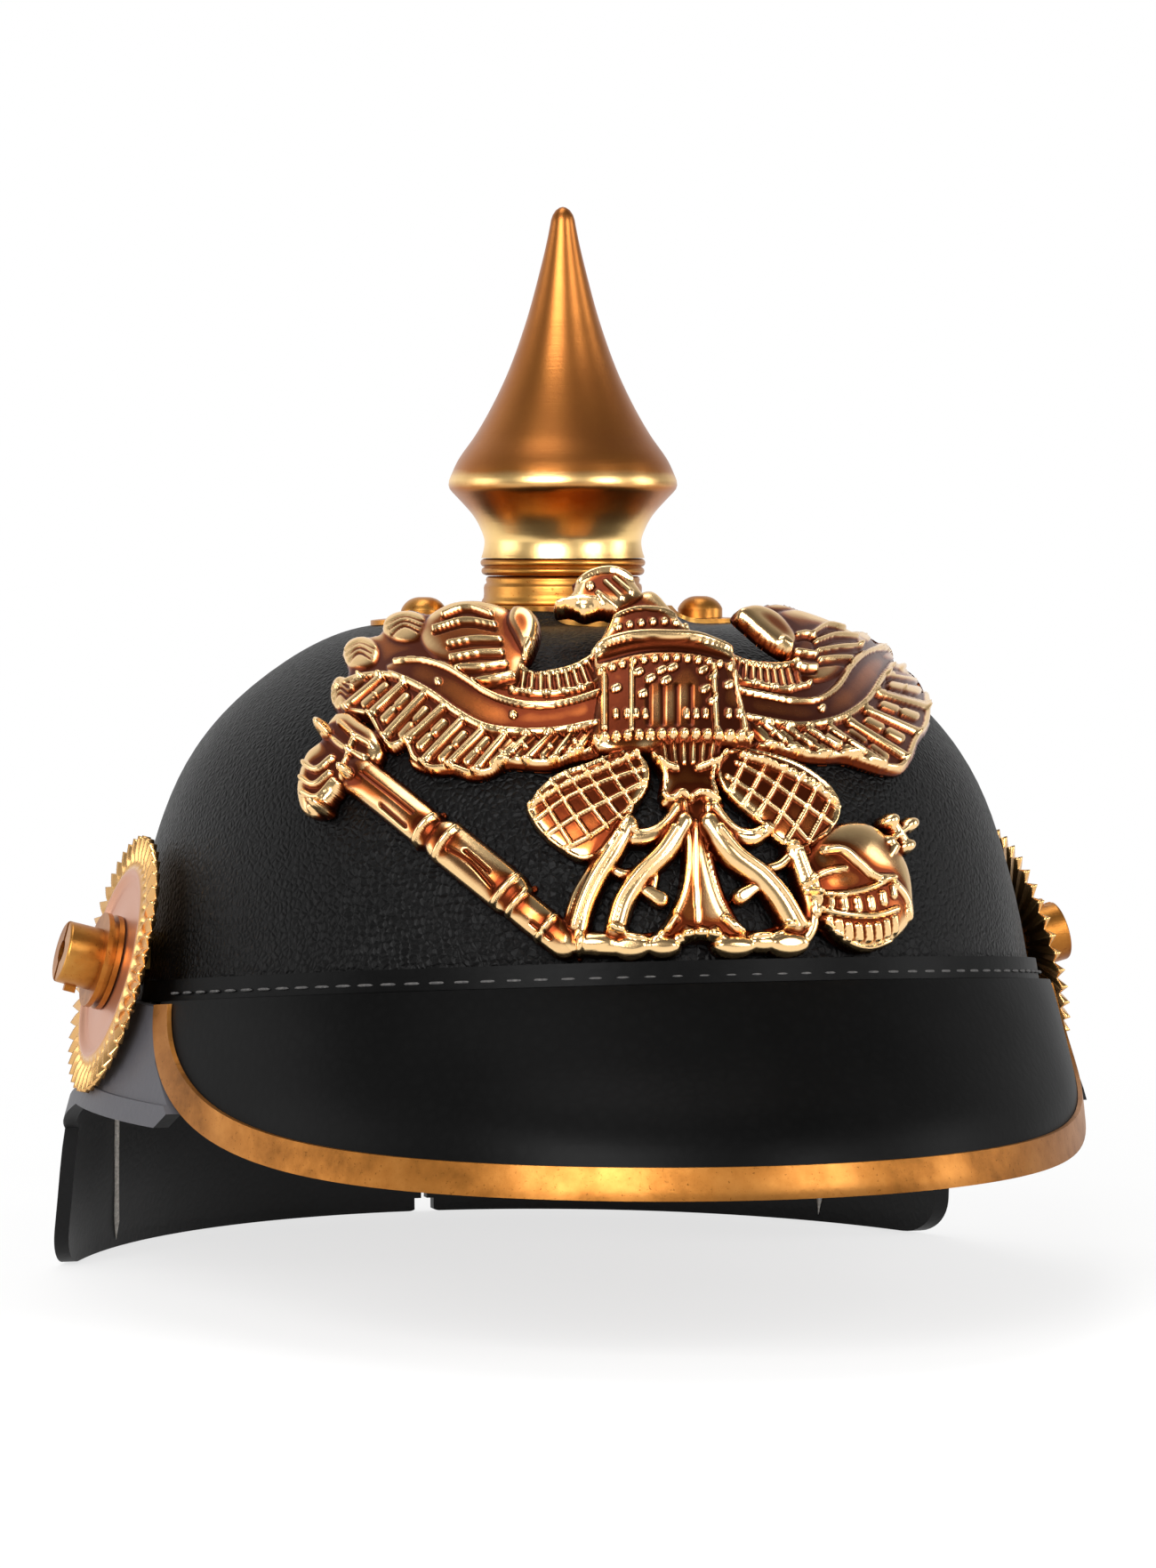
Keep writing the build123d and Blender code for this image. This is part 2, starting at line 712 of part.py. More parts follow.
with BuildPart() as spike_nut:
    with BuildSketch(Plane.XY.offset(washer_top - spike_washer_thickness - spike_nut_thickness)):
        RegularPolygon(spike_nut_flats / 2, 6, major_radius=False)
        Circle(stud_thread_radius + running_gap, mode=Mode.SUBTRACT)
    extrude(amount=spike_nut_thickness)
spike_nut.part.label = "spike_nut"
export_step(spike_nut.part, "parts/spike_nut.step")

# Side discs, their pads, posts, collars and nuts, on an axis that tilts up from each side
pad_relief = between(guard_form(lap_gap), guard_form(-guard_wall - lap_gap))
disc_front = disc_wall + disc_step
collar_thickness = 3 * post_collar_ridge
collar_front = disc_front + seat_gap + collar_thickness
wall_depth = (post_out - dome_half_width(post_height)) / math.cos(math.radians(post_tilt)) + skull_wall
nut_depth = wall_depth + post_shank_radius * math.tan(math.radians(post_tilt))
for side, disc_plane in side_planes.items():
    with BuildPart() as cockade:
        with BuildSketch(disc_plane):
            with BuildLine():
                teeth = []
                for corner in range(2 * disc_teeth):
                    radius = disc_radius - disc_tooth_depth * (corner % 2)
                    angle = math.pi * corner / disc_teeth
                    teeth.append((radius * math.cos(angle), radius * math.sin(angle)))
                Polyline(*teeth, close=True)
            make_face()
            Circle(post_shank_radius + running_gap, mode=Mode.SUBTRACT)
        extrude(amount=disc_wall)
        with BuildSketch(disc_plane.offset(disc_wall)):
            Circle(disc_step_radius)
            Circle(post_shank_radius + running_gap, mode=Mode.SUBTRACT)
        extrude(amount=disc_step)
    cockade.part.label = f"cockade_{side}"
    export_step(cockade.part, f"parts/cockade_{side}.step")

    with BuildPart() as pad:
        with BuildSketch(disc_plane.offset(-seat_gap)):
            Circle(pad_radius)
            Circle(post_shank_radius + running_gap, mode=Mode.SUBTRACT)
        extrude(amount=-pad_radius)
        add(dome_form(seat_gap), mode=Mode.SUBTRACT)
        add(pad_relief, mode=Mode.SUBTRACT)
    cockade_pad = pad.part.solids().sort_by(SortBy.VOLUME)[-1]
    cockade_pad.label = f"cockade_pad_{side}"
    export_step(cockade_pad, f"parts/cockade_pad_{side}.step")

    with BuildPart() as post_collar:
        for start, radius in enumerate((post_collar_radius, post_collar_waist, post_collar_radius)):
            with BuildSketch(disc_plane.offset(disc_front + seat_gap + start * post_collar_ridge)):
                Circle(radius)
                Circle(post_shank_radius + running_gap, mode=Mode.SUBTRACT)
            extrude(amount=post_collar_ridge)
    post_collar.part.label = f"post_collar_{side}"
    export_step(post_collar.part, f"parts/post_collar_{side}.step")

    with BuildPart() as side_post:
        with BuildSketch(disc_plane.offset(-nut_depth - post_nut_thickness - seat_gap)):
            Circle(post_shank_radius)
        extrude(amount=nut_depth + post_nut_thickness + seat_gap + collar_front)
        with BuildSketch(disc_plane.offset(collar_front)):
            Circle(post_radius)
        extrude(amount=post_length)
        post_end = side_post.faces().sort_by(Axis(disc_plane.origin, disc_plane.z_dir))[-1]
        fillet(post_end.edges(), post_bore_radius / 4)
        with BuildSketch(disc_plane.offset(collar_front + post_length)):
            Circle(post_bore_radius)
        extrude(amount=-post_bore_depth, mode=Mode.SUBTRACT)
        with BuildSketch(disc_plane.offset(collar_front + post_length)):
            Rectangle(post_slot_width, 2 * post_radius + overrun)
        extrude(amount=-post_slot_depth, mode=Mode.SUBTRACT)
        with BuildSketch(disc_plane.offset(collar_front + post_length / 2 - lug_length / 2)):
            with Locations((0, post_radius)):
                Rectangle(lug_width, 2 * lug_height)
        extrude(amount=lug_length)
    side_post.part.label = f"side_post_{side}"
    export_step(side_post.part, f"parts/side_post_{side}.step")

    with BuildPart() as post_nut:
        with BuildSketch(disc_plane.offset(-nut_depth)):
            RegularPolygon(post_shank_radius + nut_wall, 6)
            Circle(post_shank_radius + running_gap, mode=Mode.SUBTRACT)
        extrude(amount=-post_nut_thickness)
    post_nut.part.label = f"post_nut_{side}"
    export_step(post_nut.part, f"parts/post_nut_{side}.step")

# Sweatband: a leather band that leans inwards from a folded hem
liner_top = dome_half_width(sweatband_top, -liner_inset)
band_foot = skull_half_width - skull_wall - sweatband_inset
hem_base = base_height + sweatband_foot
hem_out = dome_half_width(hem_base + sweatband_hem) - skull_wall - sweatband_clearance


def band_form(grow):
    """Solid cone inside the sweatband's outer face, grown by a length."""
    with BuildPart() as form:
        for half_width, height in ((band_foot + grow, hem_base), (liner_top + grow, sweatband_top)):
            with BuildSketch(Plane.XY.offset(height)):
                with Locations((0, -dome_shift)):
                    Ellipse(half_width, fore_aft_ratio * half_width)
        loft()
    return form.part


with BuildPart() as sweatband:
    add(band_form(0))
    with BuildSketch(Plane.XY.offset(hem_base)):
        with Locations((0, -dome_shift)):
            Ellipse(hem_out, fore_aft_ratio * hem_out)
    extrude(amount=sweatband_hem)
    add(band_form(-sweatband_wall), mode=Mode.SUBTRACT)
sweatband.part.label = "sweatband"
export_step(sweatband.part, "parts/sweatband.step")

# Liner tongues: leather fingers that close over the wearer's head
with BuildPart() as liner_tongues:
    add(between(dome_form(-liner_inset), dome_form(-liner_inset - tongue_wall)))
    with BuildSketch(Plane.XY.offset(sweatband_top + seat_gap)):
        with Locations((0, -dome_shift)):
            Circle(full_reach)
            Circle(tongue_hole_radius, mode=Mode.SUBTRACT)
            with PolarLocations(full_reach / 2, tongue_count):
                Rectangle(full_reach, tongue_gap, mode=Mode.SUBTRACT)
    extrude(amount=skull_height, mode=Mode.INTERSECT)
liner_tongues.part.label = "liner_tongues"
export_step(liner_tongues.part, "parts/liner_tongues.step")

# Rear spine: a strip from the cross plate down the back, over the seam and onto the neck guard
with BuildPart() as rear_spine:
    add(between(dome_form(seat_gap + spine_wall), dome_form(seat_gap)))
    with BuildSketch(Plane.XZ.offset(-cross_reach - seat_gap)):
        with Locations((0, seam_side_height + skull_height / 2)):
            Rectangle(spine_width, skull_height)
    extrude(amount=-full_reach, mode=Mode.INTERSECT)
with BuildPart() as spine_foot:
    add(between(guard_form(seat_gap + spine_wall), guard_form(seat_gap)))
    with BuildSketch(Plane.XZ):
        with Locations((0, (seam_side_height + spine_wall + spine_foot_height) / 2)):
            Rectangle(spine_width, seam_side_height + spine_wall - spine_foot_height)
    extrude(amount=-full_reach, mode=Mode.INTERSECT)
step_in = fore_aft_ratio * dome_half_width(seam_side_height + spine_wall) - dome_shift
step_in = step_in + seat_gap + spine_wall / 2
step_out = guard_rear(seam_side_height) + seat_gap + spine_wall / 2
with BuildPart() as spine_step:
    with BuildSketch(Plane.XY.offset(seam_side_height)):
        with Locations((0, (step_in + step_out) / 2)):
            Rectangle(spine_width, step_out - step_in)
    extrude(amount=spine_wall)
with BuildPart() as rear_spine_whole:
    add(rear_spine.part)
    add(spine_foot.part)
    add(spine_step.part)
    with BuildSketch(vent_plane.offset(overrun)):
        with Locations((0, -slide_travel / 2)):
            Circle(vent_hole_radius)
    extrude(amount=-2 * overrun, mode=Mode.SUBTRACT)
    for plane in screw_planes:
        with BuildSketch(plane.offset(overrun)):
            Circle(screw_shank + seat_gap)
        extrude(amount=-3 * overrun, mode=Mode.SUBTRACT)
rear_spine_whole.part.label = "rear_spine"
export_step(rear_spine_whole.part, "parts/rear_spine.step")

# Spine screws: one at each end of the strip
with BuildPart() as spine_screws:
    for plane in screw_planes:
        with BuildSketch(plane.offset(-screw_head)):
            Circle(screw_radius)
        extrude(amount=screw_head)
        with BuildSketch(plane):
            Circle(screw_radius)
        extrude(amount=screw_head, taper=screw_taper)
    for seat_form in (dome_form, guard_form):
        add(seat_form(2 * seat_gap + spine_wall), mode=Mode.SUBTRACT)
    for plane in screw_planes:
        with BuildSketch(plane.offset(screw_head / 2)):
            Circle(screw_shank)
        extrude(amount=-screw_tail - screw_head / 2)
spine_screws.part.label = "spine_screws"
export_step(spine_screws.part, "parts/spine_screws.step")

# Vent housing: a shallow guide on the spine, with lips that hold the slide
slide_width = vent_width - 2 * vent_side - 2 * seat_gap
channel_length = slide_length + slide_travel + 2 * seat_gap
with BuildPart() as vent_housing:
    with BuildSketch(vent_plane.offset(-overrun)):
        Rectangle(vent_width, channel_length + 2 * vent_stop)
    extrude(amount=overrun + vent_floor + slide_wall + 2 * seat_gap + vent_lip)
    fillet(vent_housing.edges().filter_by(Axis(vent_plane.origin, vent_plane.z_dir)), vent_stop)
    add(dome_form(2 * seat_gap + spine_wall), mode=Mode.SUBTRACT)
    with BuildSketch(vent_plane.offset(vent_floor)):
        Rectangle(vent_width - 2 * vent_side, channel_length)
    extrude(amount=slide_wall + 2 * seat_gap, mode=Mode.SUBTRACT)
    with BuildSketch(vent_plane.offset(vent_floor)):
        Rectangle(slide_width - 2 * vent_lip, channel_length)
    extrude(amount=overrun, mode=Mode.SUBTRACT)
    with BuildSketch(vent_plane.offset(overrun)):
        with Locations((0, -slide_travel / 2)):
            Circle(vent_hole_radius)
    extrude(amount=-3 * overrun, mode=Mode.SUBTRACT)
vent_housing.part.label = "vent_housing"
export_step(vent_housing.part, "parts/vent_housing.step")

# Vent slide: a small plate with a knob, shut at the foot of its guide
with BuildPart() as vent_slide:
    with BuildSketch(vent_plane.offset(vent_floor + seat_gap)):
        with Locations((0, -slide_travel / 2)):
            Rectangle(slide_width, slide_length)
    extrude(amount=slide_wall)
    with BuildSketch(vent_plane.offset(vent_floor + seat_gap + slide_wall)):
        with Locations((0, -slide_travel / 2)):
            Circle(slide_knob_radius)
    extrude(amount=slide_knob_height)
vent_slide.part.label = "vent_slide"
export_step(vent_slide.part, "parts/vent_slide.step")


def leaned(points, mirror_sign=1):
    """Points of the front plate moved sideways as the plate leans."""
    return [(mirror_sign * x + plate_lean * (z - plate_lean_height), z) for x, z in points]


def plate_points(shares):
    """Points of half the front plate from shares of the wings' half span and the plate's height."""
    return [(wing_half_span * x, eagle_foot + eagle_height * z) for x, z in shares]


# Front plate: an eagle with a sceptre and an orb, stamped to the curve of the skull
with BuildPart() as front_plate:
    add(between(plate_form(lap_gap + plate_wall), plate_form(lap_gap)))
    with BuildSketch(Plane.XZ.offset(dome_shift + stud_radius)):
        for mirror_sign in (1, -1):
            for shares in (wing_shares, body_shares, leg_shares, tail_shares):
                with BuildLine():
                    Polyline(*leaned(plate_points(shares), mirror_sign), close=True)
                make_face()
            with Locations(*leaned(plate_points(feather_shares), mirror_sign)):
                Circle(feather_radius)
            with Locations(*leaned(plate_points(lobe_shares), mirror_sign)):
                Circle(lobe_radius)
            for shares in tail_gap_shares:
                with BuildLine():
                    Polyline(*leaned(plate_points(shares), mirror_sign), close=True)
                make_face(mode=Mode.SUBTRACT)
        with BuildLine():
            Polyline(*leaned(plate_points(head_shares)), close=True)
        make_face()
        with Locations(orb_place):
            Circle(orb_radius)
        orb_cross_place = tuple(at + orb_radius * share for at, share in zip(orb_place, orb_cross_shares))
        with Locations(orb_cross_place):
            Rectangle(orb_cross, 2 * orb_cross, rotation=orb_cross_turn)
            Rectangle(2 * orb_cross, orb_cross, rotation=orb_cross_turn)
        sceptre_run = math.hypot(sceptre_head[0] - sceptre_foot[0], sceptre_head[1] - sceptre_foot[1])
        sceptre_turn = math.degrees(
            math.atan2(sceptre_head[1] - sceptre_foot[1], sceptre_head[0] - sceptre_foot[0])
        )
        sceptre_middle = ((sceptre_head[0] + sceptre_foot[0]) / 2, (sceptre_head[1] + sceptre_foot[1]) / 2)
        with Locations(sceptre_middle):
            SlotCenterToCenter(sceptre_run, sceptre_width, rotation=sceptre_turn)
        with Locations(sceptre_head):
            Circle(sceptre_bulb)
    extrude(amount=full_reach, mode=Mode.INTERSECT)
front_plate.part.label = "front_plate"
export_step(front_plate.part, "parts/front_plate.step")

# Plate loops: tabs behind the front plate that pass through the skull
key_depth = skull_wall + key_radius + 4 * lap_gap
with BuildPart() as plate_loops:
    for plane in loop_planes:
        with BuildSketch(plane.offset(lap_gap - seat_gap / 2)):
            Rectangle(loop_width, loop_wall)
        extrude(amount=-key_depth - 2 * key_radius - lap_gap)
    for plane in loop_planes:
        across_tab = Plane(plane.origin - plane.z_dir * key_depth, x_dir=plane.x_dir, z_dir=plane.y_dir)
        with BuildSketch(across_tab.offset(-loop_wall)):
            Circle(key_radius + running_gap)
        extrude(amount=2 * loop_wall, mode=Mode.SUBTRACT)
plate_loops.part.label = "plate_loops"
export_step(plate_loops.part, "parts/plate_loops.step")

# Loop keys: leather pegs through the tabs, inside the skull
with BuildPart() as loop_keys:
    for plane in loop_planes:
        across_tab = Plane(plane.origin - plane.z_dir * key_depth, x_dir=plane.x_dir, z_dir=plane.y_dir)
        with BuildSketch(across_tab.offset(-key_length / 2)):
            Circle(key_radius)
        extrude(amount=key_length)
loop_keys.part.label = "loop_keys"
export_step(loop_keys.part, "parts/loop_keys.step")

print("post reach", post_out + (collar_front + post_length) * math.cos(math.radians(post_tilt)))
print("full height", spike_base + spike_height, "spike lift starts at", collar_top)
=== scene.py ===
import json
import math

import bpy
import numpy as np
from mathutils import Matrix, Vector


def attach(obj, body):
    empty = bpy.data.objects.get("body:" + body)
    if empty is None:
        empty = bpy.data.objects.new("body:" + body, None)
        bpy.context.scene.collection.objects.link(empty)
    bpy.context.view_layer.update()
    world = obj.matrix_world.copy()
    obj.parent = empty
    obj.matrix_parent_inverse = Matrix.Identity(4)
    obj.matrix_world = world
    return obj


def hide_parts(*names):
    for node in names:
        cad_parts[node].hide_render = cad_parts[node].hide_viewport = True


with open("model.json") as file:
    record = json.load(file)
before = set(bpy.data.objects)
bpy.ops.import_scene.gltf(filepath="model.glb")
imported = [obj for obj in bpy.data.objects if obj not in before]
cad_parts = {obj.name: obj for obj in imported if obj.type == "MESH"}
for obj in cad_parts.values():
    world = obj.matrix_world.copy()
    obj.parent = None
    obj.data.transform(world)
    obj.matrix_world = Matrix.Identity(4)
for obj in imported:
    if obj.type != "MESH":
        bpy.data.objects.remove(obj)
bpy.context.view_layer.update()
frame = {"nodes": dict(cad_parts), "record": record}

# Sizes of the helmet, in metres: the wearer faces -Y, +X is the wearer's left. The bowl's shares are of its
# half width and of its height
MM = 0.001
BASE_HEIGHT = 56.0 * MM
SKULL_HEIGHT = 86.8 * MM
SKULL_HALF_WIDTH = 97.2 * MM
DOME_SHIFT = 9.4 * MM
DOME_RATIO = 1.17
DOME_SHARES = [
    (0.206, 1.0), (0.381, 0.968), (0.549, 0.925), (0.672, 0.838), (0.759, 0.750), (0.821, 0.662),
    (0.864, 0.575), (0.907, 0.444), (0.939, 0.311), (0.961, 0.184), (1.0, 0.0),
]

# The photograph's frame and the place of its camera
PHOTO_WIDTH = 1300
PHOTO_HEIGHT = 1763
CAMERA_AZIMUTH = math.radians(-16)
CAMERA_DISTANCE = 1.2
CAMERA_HEIGHT = 0.161
AIM_HEIGHT = 0.1056
LENS = 174.9
SENSOR = 36
FRAME_SHIFT = 0.0131


def put(name, data):
    """New object in the scene, with its data."""
    made = bpy.data.objects.new(name, data)
    bpy.context.scene.collection.objects.link(made)
    return made


# Camera
camera_data = bpy.data.cameras.new("camera")
camera_data.lens = LENS
camera_data.sensor_width = SENSOR
camera_data.sensor_fit = "HORIZONTAL"
camera_data.shift_x = FRAME_SHIFT
camera = put("camera", camera_data)
camera.location = (
    CAMERA_DISTANCE * math.sin(CAMERA_AZIMUTH), -CAMERA_DISTANCE * math.cos(CAMERA_AZIMUTH), CAMERA_HEIGHT
)
look = Vector((0, 0, AIM_HEIGHT)) - camera.location
camera.rotation_euler = look.to_track_quat("-Z", "Y").to_euler()
bpy.context.scene.camera = camera
bpy.context.scene.view_settings.view_transform = "Standard"
bpy.context.view_layer.update()


# Materials
def tone(code):
    """Linear colour of an sRGB hex value."""
    channels = [int(code[i:i + 2], 16) / 255 for i in (1, 3, 5)]
    return [c / 12.92 if c <= 0.04045 else ((c + 0.055) / 1.055) ** 2.4 for c in channels] + [1.0]


def add(tree, kind, settings=(), links=(), ramp=None, **props):
    """Adds a node with its properties, input values, colour stops and links.

    The source of a link is an output, or a node whose first output is meant.
    """
    made = tree.nodes.new("ShaderNode" + kind)
    for key, value in props.items():
        setattr(made, key, value)
    for key, value in dict(settings).items():
        made.inputs[key].default_value = value
    for key, source in dict(links).items():
        if isinstance(source, bpy.types.Node):
            source = source.outputs[0]
        tree.links.new(source, made.inputs[key])
    if ramp:
        stops = made.color_ramp.elements
        while len(stops) < len(ramp):
            stops.new(0.5)
        for stop, (place, colour) in zip(stops, ramp):
            stop.position = place
            stop.color = tone(colour) if isinstance(colour, str) else [colour] * 3 + [1.0]
    return made


def start(name, sockets):
    """New material with some sockets of its shader set, its tree, its shader and its place in metres."""
    material = bpy.data.materials.new(name)
    material.use_nodes = True
    tree = material.node_tree
    shader = tree.nodes["Principled BSDF"]
    for key, value in sockets.items():
        shader.inputs[key].default_value = value
    place = add(tree, "TexCoord").outputs["Object"]
    return material, tree, shader, place


def dress(tree, shader, colour, gloss=None, bump=None):
    """Links a shader to its colour, gloss and bump."""
    tree.links.new(colour, shader.inputs["Base Color"])
    if gloss:
        tree.links.new(gloss.outputs[0], shader.inputs["Roughness"])
    if bump:
        tree.links.new(bump.outputs["Normal"], shader.inputs["Normal"])


# Widths of the hills and patches of hide, length of a spinning line and depth of a pit, in millimetres
HIDE_HILLS = 22
HIDE_PATCHES = 35
SPUN_LENGTH = 8
PIT_DEPTH = 0.05


def leather(
    name, base, light, grain_mm, depth_mm, rough, sheen=0.0, coat=0.0, coat_rough=0.1, worn=0.0, shine=0.5,
    outside=None
):
    """Tanned hide: a pebbled grain with painted shade in its creases, slow changes of tone and gloss and, if
    given, an outside painted grey as a painted reflection.
    """
    material, tree, shader, place = start(name, {
        "IOR": 1.5, "Specular IOR Level": shine, "Sheen Weight": sheen, "Coat Weight": coat,
        "Coat Roughness": coat_rough,
    })
    cells = add(
        tree, "TexVoronoi", {"Scale": 1 / (grain_mm * MM), "Randomness": 1.0}, {"Vector": place},
        feature="DISTANCE_TO_EDGE",
    )
    creases = add(tree, "MapRange", {"From Max": 0.35}, {"Value": cells.outputs["Distance"]})
    pores = add(
        tree, "TexNoise", {"Scale": 2 / (grain_mm * MM), "Detail": 4.0, "Roughness": 0.6}, {"Vector": place}
    )
    height = add(tree, "Mix", {"Factor": 0.4}, {"A": creases, "B": pores.outputs["Fac"]})
    hills = add(tree, "TexNoise", {"Scale": 1 / (HIDE_HILLS * MM), "Detail": 2.0}, {"Vector": place})
    both = add(tree, "Math", {}, {0: height, 1: hills.outputs["Fac"]}, operation="ADD")
    bump = add(tree, "Bump", {"Strength": 0.8, "Distance": depth_mm * MM}, {"Height": both})
    patches = add(
        tree, "TexNoise", {"Scale": 1 / (HIDE_PATCHES * MM), "Detail": 5.0}, {"Vector": place}
    ).outputs["Fac"]
    # The creases of the grain are painted darker and the pebble tops lighter: painted shade and light, mixed
    # with patches of tone
    mixed = add(tree, "Math", {1: 0.35}, {0: creases, 2: patches}, operation="MULTIPLY_ADD")
    paint = add(tree, "ValToRGB", {}, {"Fac": mixed}, ramp=[(0.35, base), (0.95, light)]).outputs["Color"]
    gloss = add(tree, "MapRange", {"To Min": rough - 0.06, "To Max": rough + 0.1 + worn}, {"Value": patches})
    # The outside, facing away from the axis, is painted grey: a painted reflection
    if outside:
        facing = add(tree, "TexCoord").outputs["Normal"]
        outward = add(tree, "VectorMath", {}, {0: facing, 1: place}, operation="DOT_PRODUCT")
        share = add(
            tree, "MapRange", {"From Min": 0.01, "From Max": 0.04}, {"Value": outward.outputs["Value"]}
        )
        paint = add(
            tree, "Mix", {"B": tone(outside)}, {"Factor": share, "A": paint}, data_type="RGBA"
        ).outputs["Result"]
    dress(tree, shader, paint, gloss, bump)
    return material


def brass(name, deep, mid, bright, rough, blotch_mm, pit_mm, lines_mm=0.0, tone_from_mesh=False):
    """Copper and zinc alloy: warm metal with tarnish in patches, fine pits and, if asked, a tone read from
    the mesh, which carries tarnish, a second metal, painted highlight and painted shade.
    """
    material, tree, shader, place = start(name, {"Metallic": 1.0})
    patches = add(
        tree, "TexNoise", {"Scale": 1 / (blotch_mm * MM), "Detail": 6.0, "Roughness": 0.62}, {"Vector": place}
    ).outputs["Fac"]
    pits = add(
        tree, "TexNoise", {"Scale": 1 / (pit_mm * MM), "Detail": 3.0, "Roughness": 0.7}, {"Vector": place}
    ).outputs["Fac"]
    places = (0.3, 0.48, 0.7)
    if tone_from_mesh:
        tone_and_painted_light = add(tree, "Attribute", attribute_name="tone_and_painted_light")
        level = add(
            tree, "Math", {1: 0.45}, {0: patches, 2: tone_and_painted_light.outputs["Fac"]}, operation="MULTIPLY_ADD"
        )
        places = (0.4, 0.62, 0.95)
    else:
        spots = add(tree, "MapRange", {"From Min": 0.62, "From Max": 0.74}, {"Value": pits})
        level = add(tree, "Math", {1: -0.3}, {0: spots, 2: patches}, operation="MULTIPLY_ADD")
    colour = add(tree, "ValToRGB", {}, {"Fac": level}, ramp=list(zip(places, (deep, mid, bright))))
    gloss = add(
        tree, "MapRange", {"From Min": 0.3, "From Max": 0.7, "To Min": rough + 0.12, "To Max": rough},
        {"Value": level},
    )
    height = pits
    if lines_mm:
        scale = (1 / (SPUN_LENGTH * MM), 1 / (SPUN_LENGTH * MM), 1 / (lines_mm * MM))
        stretched = add(tree, "Mapping", {"Scale": scale}, {"Vector": place})
        lines = add(tree, "TexNoise", {"Scale": 1.0, "Detail": 3.0}, {"Vector": stretched})
        height = add(tree, "Math", {}, {0: lines.outputs["Fac"], 1: pits}, operation="ADD")
    bump = add(tree, "Bump", {"Strength": 0.35, "Distance": PIT_DEPTH * MM}, {"Height": height})
    dress(tree, shader, colour.outputs["Color"], gloss, bump)
    return material


# Grained cowhide, dyed black and waxed: a matt pebble with soft light on its heights. The real pebble is
# about 0.7 mm wide and is drawn 1.5 mm wide so that it shows
grained_leather = leather("grained_black_cowhide", "#020202", "#080707", 1.5, 0.42, 0.41, shine=0.1)
# Pressed hide under black lacquer: nearly smooth and black, with faint ripples
lacquered_leather = leather(
    "lacquered_black_hide", "#010101", "#040404", 2.6, 0.03, 0.44, coat=0.02, coat_rough=0.3, worn=0.05,
    shine=0.07
)
# The same hide on the neck guard, rubbed by hands: a little glossier inside, with its outside painted a dull
# grey as a painted reflection
rubbed_leather_painted_sheen = leather(
    "rubbed_black_hide_painted_sheen", "#040404", "#0A090A", 2.2, 0.05, 0.42, coat=0.04, coat_rough=0.3, worn=0.1,
    shine=0.2, outside="#48474B"
)
# Vegetable-tanned calf, undyed: tan and matt, with darker handled places
liner_leather = leather("tan_liner_calf", "#6A4526", "#A87B50", 1.0, 0.1, 0.62, sheen=0.15)
# Spun brass, dulled by age: satin, brown in the shade and gold in the light. Pits and spinning lines are
# finer on the real one and are drawn 0.9 and 0.35 mm apart so that they show
spike_brass = brass("aged_spun_brass", "#7E481C", "#B27432", "#CC984E", 0.3, 24, 0.9, lines_mm=0.35)
# The same brass on the spike, with a painted highlight along its rim and at its waist
painted_highlight_brass = brass(
    "spun_brass_painted_highlight", "#985A2C", "#B57236", "#FFD68E", 0.3, 24, 0.9, lines_mm=0.35, tone_from_mesh=True
)
# Rolled brass strip, handled: duller and more even
trim_brass = brass("dull_brass_strip", "#6C431A", "#98622B", "#B47A3C", 0.38, 16, 0.7)
# Stamped brass: pale on its heights, partly real polish and partly a painted highlight, with red-brown
# tarnish in its hollows
plate_brass = brass("stamped_brass", "#5E2611", "#A2592A", "#FCD398", 0.21, 18, 0.8, tone_from_mesh=True)
# Rose copper in the middle, passing into yellow brass at the toothed rim
disc_copper = brass("rose_copper", "#D09C82", "#D29A6A", "#E2B070", 0.26, 14, 0.7, tone_from_mesh=True)
# Plain turned brass, dull, on inner pieces
plain_brass = brass("dull_turned_brass", "#6E5424", "#A98544", "#BE9B58", 0.42, 10, 0.6)


def plain_steel(name):
    """Zinc-plated steel: grey and dull, with a faint spangle about 1.5 mm wide."""
    material, tree, shader, place = start(name, {"Metallic": 1.0, "Roughness": 0.42})
    spangle = add(tree, "TexVoronoi", {"Scale": 1 / (1.5 * MM)}, {"Vector": place})
    ramp = [(0.0, "#8C8E90"), (1.0, "#A6A8AA")]
    colour = add(tree, "ValToRGB", {}, {"Fac": spangle.outputs["Distance"]}, ramp=ramp)
    dress(tree, shader, colour.outputs["Color"])
    return material


def linen_thread(name, dark, light):
    """Waxed linen: matt, with a twist about 0.6 mm long."""
    material, tree, shader, place = start(name, {"Roughness": 0.7})
    twist = add(tree, "TexNoise", {"Scale": 1 / (0.6 * MM), "Detail": 2.0}, {"Vector": place})
    colour = add(tree, "ValToRGB", {}, {"Fac": twist.outputs["Fac"]}, ramp=[(0.3, dark), (0.7, light)])
    dress(tree, shader, colour.outputs["Color"])
    return material


steel = plain_steel("dull_plated_steel")
thread = linen_thread("waxed_black_thread", "#2A292A", "#4C4A48")
pale_thread = linen_thread("waxed_pale_thread", "#8E7A5C", "#C4B08C")
piping_cord = linen_thread("bleached_piping_cord", "#B9B5AE", "#E6E2DA")

SLOT_MATERIALS = {
    "grained_leather": grained_leather, "lacquered_leather": lacquered_leather,
    "liner_leather": liner_leather, "spike_brass": spike_brass, "trim_brass": trim_brass,
    "plain_brass": plain_brass, "plate_brass": plate_brass, "disc_copper": disc_copper, "steel": steel,
}
for part in frame["record"]["subparts"]:
    piece = frame["nodes"][part["node"]]
    piece.data.materials.clear()
    piece.data.materials.append(SLOT_MATERIALS[part["material_slot"]])
frame["nodes"]["neck_guard"].data.materials[0] = rubbed_leather_painted_sheen


# Shapes
LATHE_TURNS = 128


